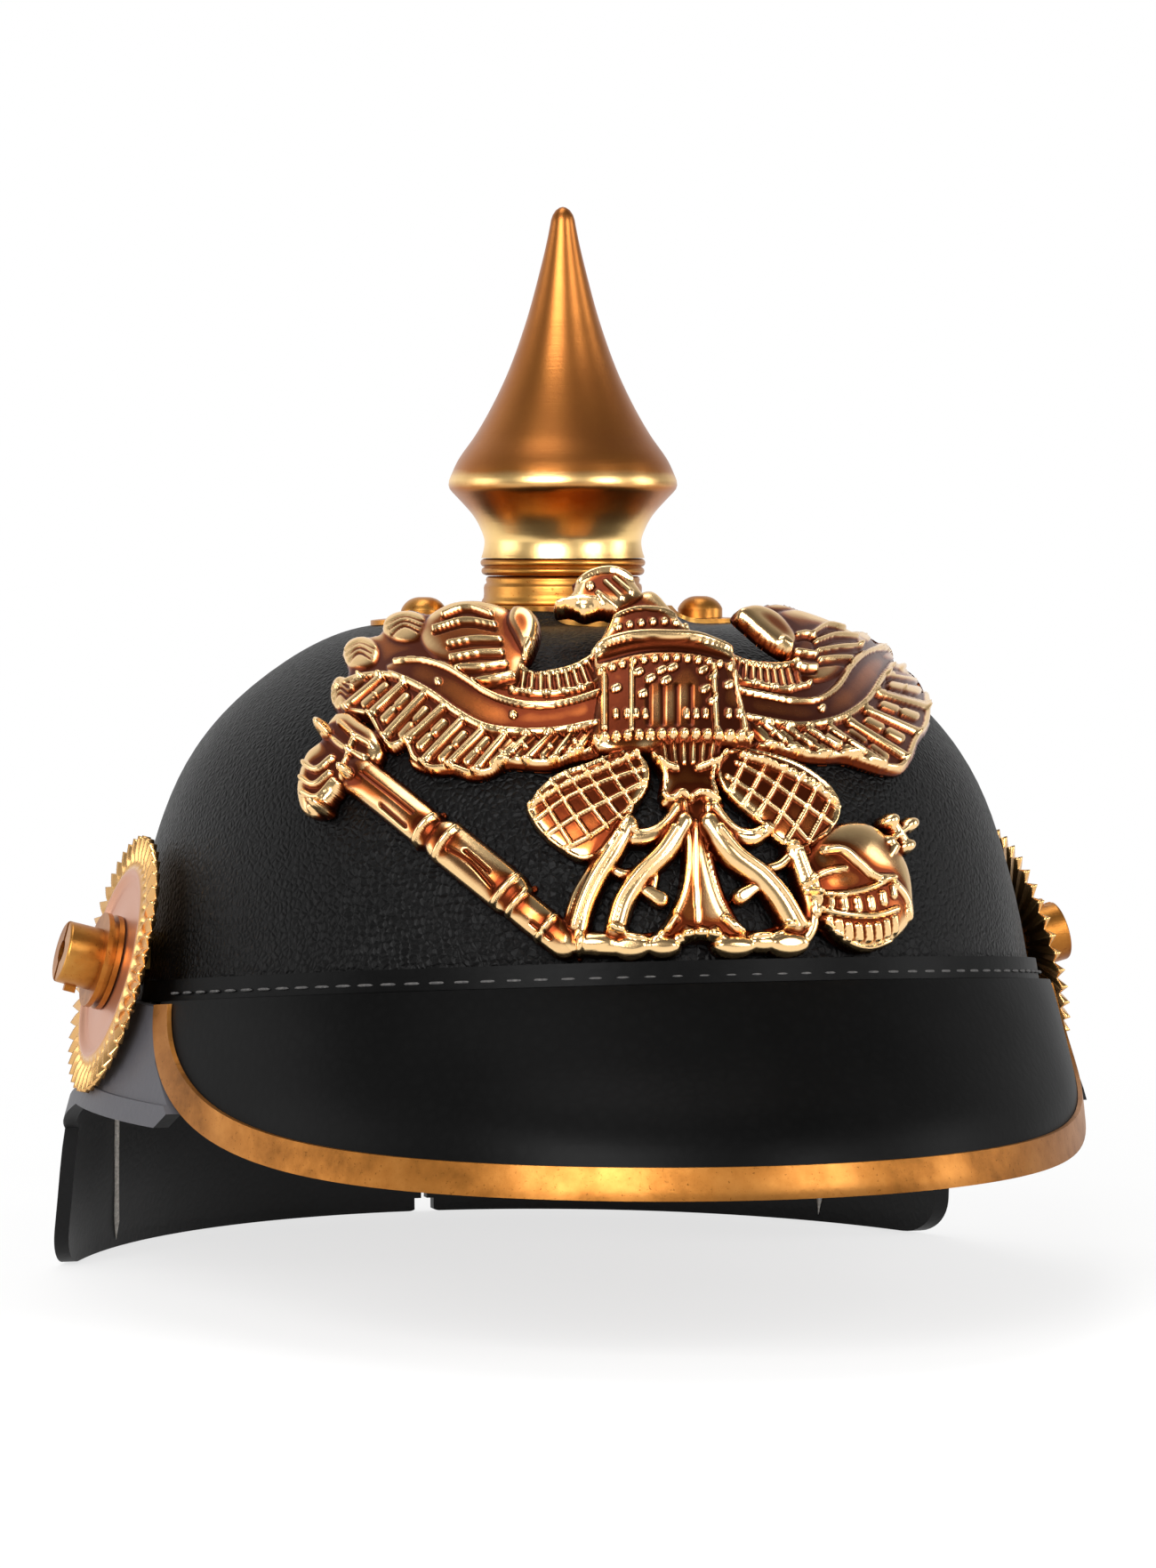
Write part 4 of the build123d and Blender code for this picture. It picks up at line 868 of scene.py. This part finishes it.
        plate.groove([(x, 786), (x, 826)], 7, 0.25)
    for x, y in (
        (716, 770), (729, 777), (741, 768), (753, 765), (746, 779), (786, 768), (797, 776), (721, 794),
        (789, 789), (797, 802), (692, 788), (814, 784),
    ):
        plate.ridge([(x - 2, y + 1), (x + 2, y - 1)], 8, 0.8, smooth=False)
    for x in (692, 704, 714, 724, 769, 779, 789, 814, 825):
        plate.ridge([(x, 814), (x, 818)], 7, 0.8, smooth=False)
    # Head: a hooked beak, a brow, an eye and a low circlet
    head = [
        (706, 700), (694, 703), (676, 698), (656, 702), (642, 696), (624, 696), (628, 686), (642, 680),
        (648, 668), (660, 656), (680, 649), (700, 653), (714, 668), (722, 684),
    ]
    plate.pillow(head, 2.2, 2.2, 14)
    plate.ridge([(628, 694), (650, 690), (672, 692)], 5, 0.9)
    plate.ridge([(650, 668), (668, 660), (690, 658), (708, 666)], 7, 1.0)
    plate.ridge([(664, 677), (664.1, 677)], 9, 1.1, smooth=False)
    plate.beads([(648, 662), (664, 651), (684, 647), (702, 652)], 10, 9, 0.9)
    for line in ([(680, 672), (698, 690)], [(690, 668), (708, 684)], [(672, 684), (690, 698)]):
        plate.ridge(line, 5, 0.6)
    return plate


def soften(values, reach):
    """Blurs a sheet of values with a few box passes."""
    span = 2 * reach + 1
    for _ in range(3):
        for axis in (0, 1):
            padded = np.pad(values, [(reach, reach) if k == axis else (0, 0) for k in (0, 1)], mode="edge")
            sums = np.cumsum(padded, axis=axis)
            runs = range(sums.shape[axis] - span + 1)
            first = np.take(sums, [k + span - 1 for k in runs], axis=axis)
            last = np.take(sums, runs, axis=axis)
            values = (first - last + np.take(padded, runs, axis=axis)) / span
    return values


# The sheet's thickness, its least height inside the rim and the height at which its sides start, in mm
SHEET = 0.1
RIM_HEIGHT = 0.9
SIDE_HEIGHT = 0.25
# Reach of its rounded rim in the photograph's pixels, and of points drawn to the edge, in grid steps
ROUNDING = 4.5
EDGE_REACH = 0.8
KEEP_REACH = 0.75
# Polish and painted highlight: its level on flat metal, its gain for each mm above the surroundings and its
# limit. The tail, below
# TAIL_TOP in the photograph, is painted a little brighter, as painted light
FLAT_POLISH = 0.36
POLISH_AND_HIGHLIGHT_GAIN = 1.5
POLISH_AND_HIGHLIGHT_LIMIT = 0.6
TAIL_TOP = 880
TAIL_PAINTED_LIGHT = 0.14
BACK_POLISH = 0.2


def sheet_mesh(plate):
    """Closed shell of a relief on the bowl, with face, sides and back, and the level of its points: polish
    with painted highlight and painted shade.
    """
    edge, step = plate.edge, plate.step
    slope_v, slope_u = np.gradient(edge, step)
    size = np.maximum(np.hypot(slope_u, slope_v), 0.3)
    border = np.abs(edge) < EDGE_REACH * step
    shift = np.where(border, edge / size, 0)
    u = plate.u - shift * slope_u / size
    v = plate.v - shift * slope_v / size
    rounded = np.sqrt(np.clip(1 - (1 - np.clip(edge / ROUNDING, 0, 1)) ** 2, 0, 1))
    height = SIDE_HEIGHT + (np.maximum(plate.height, RIM_HEIGHT) - SIDE_HEIGHT) * (0.35 + 0.65 * rounded)
    # Heights above their surroundings get a painted highlight, partly real polish; painted shade is taken
    # off, and the tail gets painted light
    raised = np.minimum((height - soften(height, 4)) * POLISH_AND_HIGHLIGHT_GAIN, POLISH_AND_HIGHLIGHT_LIMIT)
    tail = TAIL_PAINTED_LIGHT * np.clip((plate.v - TAIL_TOP) / 60, 0, 1)
    polish_and_painted_light = np.clip(FLAT_POLISH + raised - plate.dull + tail, 0, 1)
    base = plate_place(u, v)
    normal = np.cross(np.gradient(base, axis=0), np.gradient(base, axis=1))
    normal /= np.linalg.norm(normal, axis=-1, keepdims=True)
    normal *= np.sign(normal[..., 1:2]) * -1
    keep = edge > -KEEP_REACH * step
    cells = keep[:-1, :-1] & keep[1:, :-1] & keep[:-1, 1:] & keep[1:, 1:]
    faces = grid_faces(*u.shape)[cells.ravel()]
    used = np.unique(faces)
    order = np.full(u.size, -1)
    order[used] = np.arange(len(used))
    faces = order[faces]
    front = (base + normal * (height * MM)[..., None]).reshape(-1, 3)[used]
    back = (base - normal * (SHEET * MM)).reshape(-1, 3)[used]
    first = front[faces[0]]
    if np.cross(first[1] - first[0], first[2] - first[0])[1] > 0:
        faces = faces[:, ::-1]
    sides = np.concatenate([faces[:, [k, (k + 1) % 4]] for k in range(4)])
    _, single, count = np.unique(np.sort(sides, axis=1), axis=0, return_index=True, return_counts=True)
    rim = sides[single[count == 1]]
    low = len(used)
    walls = np.stack([rim[:, 1], rim[:, 0], rim[:, 0] + low, rim[:, 1] + low], axis=1)
    shell = np.concatenate([faces, walls, faces[:, ::-1] + low])
    levels = np.concatenate([polish_and_painted_light.ravel()[used], np.full(low, BACK_POLISH)])
    return np.concatenate([front, back]), shell, levels


points, faces, levels = sheet_mesh(draw_eagle())
eagle = mesh_piece("stamped_eagle", points, faces, plate_brass, "helmet", tone_and_painted_light=levels)
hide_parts("front_plate")

# Spike: spun profile of heights and radii in mm, with a hem at its rim and a flared foot
SPIKE_WAIST = [
    (153.9, 17.45), (155.6, 16.95), (157.6, 16.75), (160.2, 17.6), (162.9, 19.1), (165.8, 21.6),
    (167.9, 23.6),
]
SPIKE_RIM = [(168.6, 24.15), (169.4, 24.4), (170.4, 24.3), (171.3, 23.95)]
SPIKE_CONE = [
    (171.3, 23.95), (174.3, 22.6), (180.0, 18.7), (191.4, 12.6), (202.8, 8.3), (214.2, 5.1), (222.0, 3.25),
    (225.6, 2.55),
]
SPIKE_TIP = [(226.8, 2.2), (227.8, 1.55), (228.4, 0.75), (228.6, 0.02)]
SPIKE_WALL = 1.0
# Heights of the painted highlights on the rim and at the waist, and how far they reach, in mm. The rim's
# painted highlight is a little weaker
RIM_HIGHLIGHT, RIM_HIGHLIGHT_REACH = 170.6, 1.5
WAIST_HIGHLIGHT, WAIST_HIGHLIGHT_REACH = 158.0, 6.5
RIM_HIGHLIGHT_SHARE = 0.85


def profile(rows, step):
    """Radii and heights of a profile on a smooth curve."""
    heights = np.arange(rows[0][0], rows[-1][0] + step / 2, step)
    return list(zip(smooth_rows(rows, heights)[:, 0], heights))


waist, cone = profile(SPIKE_WAIST, 0.5), profile(SPIKE_CONE, 0.8)
outer = waist + [(r, z) for z, r in SPIKE_RIM] + cone[1:] + [(r, z) for z, r in SPIKE_TIP]
inner = [(max(r - SPIKE_WALL, 0.02), z) for r, z in waist + cone[:-14]][::-1]
points, faces = lathe(outer + inner)
levels = points[:, 2] / MM
# Painted highlight: the colour is paler along the rim and at the waist
painted_highlight = np.maximum(
    RIM_HIGHLIGHT_SHARE * np.exp(-((levels - RIM_HIGHLIGHT) / RIM_HIGHLIGHT_REACH) ** 2),
    np.exp(-((levels - WAIST_HIGHLIGHT) / WAIST_HIGHLIGHT_REACH) ** 2),
)
spike = mesh_piece(
    "spun_spike", points, faces, painted_highlight_brass, "spike", tone_and_painted_light=0.3 + 0.45 * painted_highlight
)
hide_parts("spike_shell")

# Rolled ring under the spike: two soft beads with a groove between them
BEAD = 0.85
arc = np.linspace(0.2, math.pi - 0.2, 9)
beads = [
    (r + BEAD * math.sin(a), z - BEAD * math.cos(a))
    for r, z in ((16.55, 151.15), (16.75, 152.9)) for a in arc
]
points, faces = lathe([(12.7, 150.2), (16.4, 150.2)] + beads + [(16.4, 153.8), (12.7, 153.8)])
ring = mesh_piece("rolled_ring", points, faces, spike_brass, "spike_ring")
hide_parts("spike_ring")

# Collar: a stepped cup with a turned-out foot on the cross plate
points, faces = lathe([
    (4.1, 150.0), (15.9, 150.0), (16.3, 149.8), (16.45, 149.3), (16.3, 148.6), (16.75, 148.2), (16.9, 147.6),
    (16.85, 146.2), (16.95, 145.4), (17.3, 144.9), (17.4, 144.3), (17.3, 144.0), (13.7, 144.0), (13.7, 148.4),
    (4.1, 148.4),
])
collar = mesh_piece("stepped_collar", points, faces, spike_brass, "helmet")
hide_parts("spike_collar")

# Side discs: a pleated, toothed rim round a dished face with fine rings. Radii and heights are in mm
DISC_PLACE = np.array([98.5, -8.0, 69.5]) * MM
DISC_TILT = math.radians(15)
DISC_TEETH = 44
DISC_HOLE = 3.1
DISC_FACE = 20.8
DISC_RADIUS = 27.4
DISC_ROWS = [
    (3.1, 1.7), (9.0, 1.7), (10.2, 1.5), (13.0, 1.15), (16.0, 1.1), (18.6, 1.4), (19.2, 1.9), (19.9, 2.0),
    (20.6, 1.7), (21.2, 1.4), (24.0, 1.35), (27.4, 1.1),
]
TOOTH_DEPTH = 1.6
PLEAT_DEPTH = 1.7
FINE_RINGS = 0.03


def side_disc(side, sign):
    """Disc on its tilted axis: a face that is pleated towards the rim, and a flat back."""
    axis = np.array([sign * math.cos(DISC_TILT), 0, math.sin(DISC_TILT)])
    across = np.array([0, 1.0, 0])
    up = np.cross(axis, across)
    origin = DISC_PLACE * (sign, 1, 1)
    turn = circle(DISC_TEETH * 10)
    saw = np.abs(((turn * DISC_TEETH / (2 * math.pi)) % 1) * 2 - 1)
    radii = np.concatenate([np.arange(DISC_HOLE, DISC_FACE, 0.45), np.linspace(21.0, DISC_RADIUS, 16)])
    rise = smooth_rows(DISC_ROWS, radii)[:, 0]
    out = np.clip((radii - DISC_FACE) / (DISC_RADIUS - DISC_FACE), 0, 1)[:, None]
    reach = radii[:, None] - out ** 2 * TOOTH_DEPTH * (1 - saw[None, :])
    lift = rise[:, None] + np.sqrt(out) * PLEAT_DEPTH * (saw[None, :] - 0.5)
    lift = np.maximum(lift + FINE_RINGS * np.sin(radii * 7)[:, None], 0.35)
    spokes = across * np.cos(turn)[:, None] + up * np.sin(turn)[:, None]
    face = origin + (axis * lift[..., None] + spokes * reach[..., None]) * MM
    back = origin + (axis * 0.05 + spokes * reach[[0, -1]][..., None]) * MM
    rows = np.concatenate([back[:1], face, back[1:], back[:1]])
    quads = grid_faces(len(rows), len(turn), closed=True)
    points = rows.reshape(-1, 3)
    # Copper in the middle, brass from the raised ring outwards
    zone = np.concatenate([[0.5], np.clip((radii - 19.5) / 1.5, 0, 1), [1.0], [0.5]])
    a, b, c = points[quads[len(turn) * 3]][:3]
    if np.dot(np.cross(b - a, c - a), axis) < 0:
        quads = quads[:, ::-1]
    tone_and_painted_light = np.repeat(zone, len(turn))
    piece = mesh_piece(
        "pleated_disc_" + side, points, quads, disc_copper, "cockade_" + side, tone_and_painted_light=tone_and_painted_light
    )
    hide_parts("cockade_" + side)


side_disc("left", 1)
side_disc("right", -1)

# Stitches: waxed thread, with their pitch, length and radius
STITCH_PITCH = 5.3 * MM
STITCH_LENGTH = 3.7 * MM
STITCH_RADIUS = 0.3 * MM


def stitches(name, line, outs, lift, material):
    """Row of rounded stitches at an even pitch, lifted off a line on a surface."""
    along = np.concatenate([[0], np.cumsum(np.linalg.norm(np.diff(line, axis=0), axis=1))])
    picks = np.searchsorted(along, np.arange(0, along[-1], STITCH_PITCH))
    places = line[picks] + outs[picks] * lift
    ring = circle(8)
    shares = np.linspace(-1, 1, 7)
    points, quads = [], []
    for here, there, out in zip(places[:-1], places[1:], outs[picks]):
        ahead = (there - here) / np.linalg.norm(there - here)
        aside = np.cross(ahead, out)
        middle = (here + there) / 2
        first = len(points)
        for s in shares:
            size = STITCH_RADIUS * math.sqrt(max(1 - s ** 4, 0.02))
            dip = STITCH_RADIUS * (0.25 - 0.5 * s * s)
            for a in ring:
                points.append(
                    middle + ahead * s * STITCH_LENGTH / 2 + aside * size * math.cos(a)
                    + out * (size * math.sin(a) + dip)
                )
        quads.extend((grid_faces(len(shares), len(ring), closed=True) + first).tolist())
        foot = list(range(first, first + len(ring)))
        top = [k + (len(shares) - 1) * len(ring) for k in foot][::-1]
        for cap in (foot, top):
            quads.extend([[cap[0], cap[i], cap[i + 1], cap[i + 2]] for i in (1, 3, 5)])
    mesh_piece(name, points, quads, material, "helmet")


# Seam stitches: in the band, just above the visor. The seam's heights at the side and in front, and the place
# forward of the axis where it starts to rise, in mm
SEAM_SIDE = 63.0
SEAM_FRONT = 72.4
SEAM_BEND = 24.0
SEAM_ABOVE = 1.3
SEAM_LIFT = 1.85 * MM
SEAM_TURN = math.radians(76)


def seam_height(turn):
    """Height of the seam at a turn from the front, found on the bowl."""
    height = np.full(turn.shape, SEAM_SIDE)
    front = DOME_SHIFT / MM + DOME_RATIO * dome_width(np.array([SEAM_FRONT * MM]))[0] / MM
    for _ in range(8):
        width = dome_width(height * MM) / MM
        forward = DOME_SHIFT / MM + DOME_RATIO * width * np.cos(turn)
        share = np.clip((forward - SEAM_BEND) / (front - SEAM_BEND), 0, 1)
        height = SEAM_SIDE + (SEAM_FRONT - SEAM_SIDE) * share
    return height


def on_bowl(turn, height, lift):
    """Places on the bowl, lifted off it, and the outward directions there."""
    width = dome_width(height * MM)
    out = np.stack([np.sin(turn), -np.cos(turn) / DOME_RATIO, np.full(turn.shape, 0.12)], axis=-1)
    out /= np.linalg.norm(out, axis=-1, keepdims=True)
    places = np.stack(
        [width * np.sin(turn), -DOME_SHIFT - DOME_RATIO * width * np.cos(turn), height * MM], axis=-1
    )
    return places + out * lift, out


turn = np.linspace(-SEAM_TURN, SEAM_TURN, 4000)
line, outs = on_bowl(turn, seam_height(turn) + SEAM_ABOVE, SEAM_LIFT)
stitches("seam_stitches", line, outs, 0, thread)

# Neck guard: the pale piping cord of its side seams, laid on the inner face
GUARD_SEAM = [
    (-84.4, 65.2, 31.0), (-84.1, 66.4, 28.0), (-83.7, 68.9, 20.8), (-83.1, 72.0, 10.5), (-82.8, 73.6, 3.3),
    (-82.8, 73.9, 1.6),
]
GUARD_SEAM_OUT = np.array([0.81, -0.56, -0.12])
PIPING_RADIUS = 0.65


def piping(name, side):
    """Round cord along the seam on one side, half sunk in the leather."""
    line = smooth_line(GUARD_SEAM, 0.8) + GUARD_SEAM_OUT * 0.2
    ring = circle(12)
    aside = np.cross(GUARD_SEAM_OUT, (0, 0.25, -0.97))
    aside /= np.linalg.norm(aside)
    sizes = np.full(len(line), PIPING_RADIUS)
    sizes[[0, -1]] = 0.05
    spokes = aside * np.cos(ring)[:, None] + GUARD_SEAM_OUT * np.sin(ring)[:, None]
    points = (line[:, None] + sizes[:, None, None] * spokes).reshape(-1, 3) * MM * (side, 1, 1)
    quads = grid_faces(len(line), len(ring), closed=True)
    mesh_piece(name, points, quads[:, ::side], piping_cord, "helmet")


piping("guard_piping_right", 1)
piping("guard_piping_left", -1)

# Liner: a waved calf band, turned out at its foot, and soft fingers that close over the head. Sizes are in mm
BAND_FOOT = 57.0
BAND_TOP = 97.0
BAND_FOOT_WIDTH = 87.4
HEM_RISE = 2.0
HEM_WIDTH = 93.3
LINER_INSET = 11.0
CALF = 1.3
FINGERS = 12
FINGER_GAP = 5.0
FINGER_HOLE = 26.5
FINGER_THICKNESS = 1.1
FINGER_BOW = 0.35
FINGER_DROOP = 1.6
TIP_SHARE = 0.82
LINER_SEAM = 94.0


def liner_width(height):
    """Half width of the liner's form, which is the bowl shrunk by an inset, at a height."""
    share = (height - BASE_HEIGHT / MM) / (SKULL_HEIGHT / MM - LINER_INSET)
    full = dome_width(BASE_HEIGHT + share * SKULL_HEIGHT) / MM
    return full * (SKULL_HALF_WIDTH / MM - LINER_INSET) / (SKULL_HALF_WIDTH / MM)


BAND_TOP_WIDTH = float(liner_width(np.array([BAND_TOP]))[0])


def band_reach(angle):
    """Distance from the axis to the band's top edge at an angle."""
    return BAND_TOP_WIDTH / math.sqrt(math.cos(angle) ** 2 + (math.sin(angle) / DOME_RATIO) ** 2) - 0.1


def calf_band():
    """Sweatband with a hem, soft waves between its sewn edges and a thickened roll at its foot."""
    side = [
        (BAND_FOOT_WIDTH + (BAND_TOP_WIDTH - BAND_FOOT_WIDTH) * s, BAND_FOOT + (BAND_TOP - BAND_FOOT) * s, s)
        for s in np.linspace(0, 1, 24)
    ]
    outside = [row for row in side if row[2] > 0.07]
    inside = [(width - CALF, height, s) for width, height, s in side]
    hem = [
        (HEM_WIDTH - 0.6, BAND_FOOT + 0.1, 0), (HEM_WIDTH, BAND_FOOT + 1.0, 0),
        (HEM_WIDTH - 0.5, BAND_FOOT + HEM_RISE - 0.1, 0), (BAND_FOOT_WIDTH + 0.6, BAND_FOOT + HEM_RISE, 0),
    ]
    width, height, share = np.array(hem + outside + inside[::-1] + hem[:1]).T[..., None]
    turns = circle(360)
    width = width + np.sin(share * math.pi) * (0.5 * np.sin(5 * turns) + 0.3 * np.sin(13 * turns + 1) - 0.5)
    points = np.stack([
        width * np.cos(turns), -DOME_SHIFT / MM + DOME_RATIO * width * np.sin(turns), height + 0 * turns
    ], axis=-1)
    return points.reshape(-1, 3) * MM, grid_faces(*width.shape, closed=True)


def calf_fingers():
    """Fingers cut from one hood: each a little bowed across and drooping to its tip."""
    heights = np.linspace(BAND_TOP, (BASE_HEIGHT + SKULL_HEIGHT) / MM - LINER_INSET - 0.05, 400)[::-1]
    widths = liner_width(heights)
    points, quads = [], []
    across = np.linspace(-1, 1, 15)
    for finger in range(FINGERS):
        middle = (finger + 0.5) * 2 * math.pi / FINGERS
        rows = []
        for share in np.linspace(0, 1, 26):
            out = band_reach(middle) * (1 - share) + FINGER_HOLE * share
            half = math.pi / FINGERS - math.asin(FINGER_GAP / 2 / out)
            end = max(share - TIP_SHARE, 0) / (1 - TIP_SHARE)
            angle = middle + across * half * math.sqrt(max(1 - 0.85 * end ** 2, 0.02))
            level = out * np.sqrt(np.cos(angle) ** 2 + (np.sin(angle) / DOME_RATIO) ** 2)
            face = np.interp(level, widths, heights) - FINGER_DROOP * share ** 2
            face -= FINGER_BOW * np.cos(across * math.pi / 2) * math.sin(share * math.pi)
            flat = np.stack([out * np.cos(angle), -DOME_SHIFT / MM + out * np.sin(angle)], axis=-1)
            top, low = np.column_stack([flat, face]), np.column_stack([flat, face - FINGER_THICKNESS])
            rows.append(np.concatenate([top, low[::-1]]))
        root, tip = [(row + row[::-1]) / 2 for row in (rows[0], rows[-1])]
        rows = [root] + rows + [tip]
        quads.append(grid_faces(len(rows), len(root), closed=True) + len(points))
        points.extend(np.concatenate(rows).tolist())
    return np.array(points) * MM, np.concatenate(quads)


points, faces = calf_band()
band = mesh_piece("calf_band", points, faces, liner_leather, "helmet")
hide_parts("sweatband")
points, faces = calf_fingers()
hood = mesh_piece("calf_fingers", points, faces, liner_leather, "helmet")
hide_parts("liner_tongues")

# Row of stitches that holds the fingers to the band, seen from inside
turn = np.linspace(0, 2 * math.pi, 3000)
reach = (band_reach(0) - CALF - 1.0) * MM
line = np.stack([
    reach * np.cos(turn), -DOME_SHIFT + DOME_RATIO * reach * np.sin(turn), LINER_SEAM * MM + 0 * turn
], axis=-1)
outs = -np.stack([np.cos(turn), np.sin(turn) / DOME_RATIO, np.full(turn.shape, 0.28)], axis=-1)
outs /= np.linalg.norm(outs, axis=-1, keepdims=True)
stitches("liner_stitches", line, outs, CALF * MM, pale_thread)


# Floor, backdrop light and lamps
WHITE = (1, 1, 1, 1)
ROOM_GREY = (0.42, 0.42, 0.42, 1)


def studio_floor():
    """Painted board: near white, with a soft shadow, fading into the white behind it."""
    material, tree, shader, place = start("white_board", {
        "Base Color": tone("#F0F0EF"), "Roughness": 0.9, "Specular IOR Level": 0.1,
    })
    plain = add(tree, "Emission", {"Color": WHITE, "Strength": 1.0})
    grain = add(tree, "TexNoise", {"Scale": 1 / (3 * MM)}, {"Vector": place})
    bump = add(tree, "Bump", {"Strength": 0.1, "Distance": 0.1 * MM}, {"Height": grain.outputs["Fac"]})
    tree.links.new(bump.outputs["Normal"], shader.inputs["Normal"])
    far = add(tree, "VectorMath", {}, {0: place}, operation="LENGTH").outputs["Value"]
    fade = add(
        tree, "MapRange", {"From Min": 0.1, "From Max": 0.5, "To Min": 0.72, "To Max": 1.0}, {"Value": far}
    )
    ray = add(tree, "LightPath").outputs
    seen = add(
        tree, "Math", {}, {0: ray["Is Camera Ray"], 1: ray["Is Glossy Ray"]}, operation="ADD", use_clamp=True
    )
    share = add(tree, "Math", {}, {0: fade, 1: seen}, operation="MULTIPLY")
    blend = add(tree, "MixShader", {}, {0: share, 1: shader, 2: plain})
    tree.links.new(blend.outputs[0], tree.nodes["Material Output"].inputs["Surface"])
    return material


FLOOR_HALF = 3.0
FLOOR_HEIGHT = -0.4 * MM
floor_data = bpy.data.meshes.new("floor")
corners = [(x * FLOOR_HALF, y * FLOOR_HALF, FLOOR_HEIGHT) for x, y in ((-1, -1), (1, -1), (1, 1), (-1, 1))]
floor_data.from_pydata(corners, [], [(0, 1, 2, 3)])
floor_data.materials.append(studio_floor())
floor = put("floor", floor_data)


def studio_world():
    """White to the eye and in mirrors behind the helmet, with a dimmer room in front and above."""
    world = bpy.data.worlds.new("studio")
    bpy.context.scene.world = world
    world.use_nodes = True
    tree = world.node_tree
    tree.nodes.clear()
    ray = add(tree, "LightPath").outputs
    way = add(tree, "TexCoord").outputs["Generated"]
    parts = add(tree, "SeparateXYZ", {}, {0: way})
    behind = add(tree, "MapRange", {"From Min": -1.0, "From Max": 1.0}, {"Value": parts.outputs["Y"]})
    room = add(
        tree, "ValToRGB", {}, {"Fac": behind},
        ramp=[(0.0, 0.16), (0.35, 0.10), (0.6, 0.28), (0.85, 0.85), (1.0, 1.0)],
    )
    mirror = add(
        tree, "Math", {}, {0: ray["Is Glossy Ray"], 1: ray["Is Transmission Ray"]}, operation="MAXIMUM"
    )
    dim = add(tree, "Mix", {"A": ROOM_GREY}, {"Factor": mirror, "B": room}, data_type="RGBA")
    seen = add(
        tree, "Mix", {"B": WHITE}, {"Factor": ray["Is Camera Ray"], "A": dim.outputs["Result"]},
        data_type="RGBA",
    )
    back = add(tree, "Background", {"Strength": 1.0}, {"Color": seen.outputs["Result"]})
    add(tree, "OutputWorld", {}, {"Surface": back})


studio_world()


def soft_box(name, place, aim, size, power):
    """Square lamp that faces a point above the origin."""
    data = bpy.data.lights.new(name, "AREA")
    data.shape = "RECTANGLE"
    data.size, data.size_y = size
    data.energy = power
    lamp = put(name, data)
    lamp.location = place
    lamp.rotation_euler = (Vector((0, 0, aim)) - Vector(place)).to_track_quat("-Z", "Y").to_euler()


soft_box("key", (-0.8, -1.2, 0.8), 0.13, (0.85, 0.85), 26)
soft_box("fill", (0.75, -1.3, 0.62), 0.12, (0.5, 0.8), 12)
soft_box("top", (-0.1, 0.1, 1.3), 0.1, (0.9, 0.5), 5)
soft_box("right", (1.4, -0.4, 0.4), 0.08, (0.5, 0.9), 7)
soft_box("side", (-1.4, 0.3, 0.35), 0.06, (0.8, 0.8), 5)
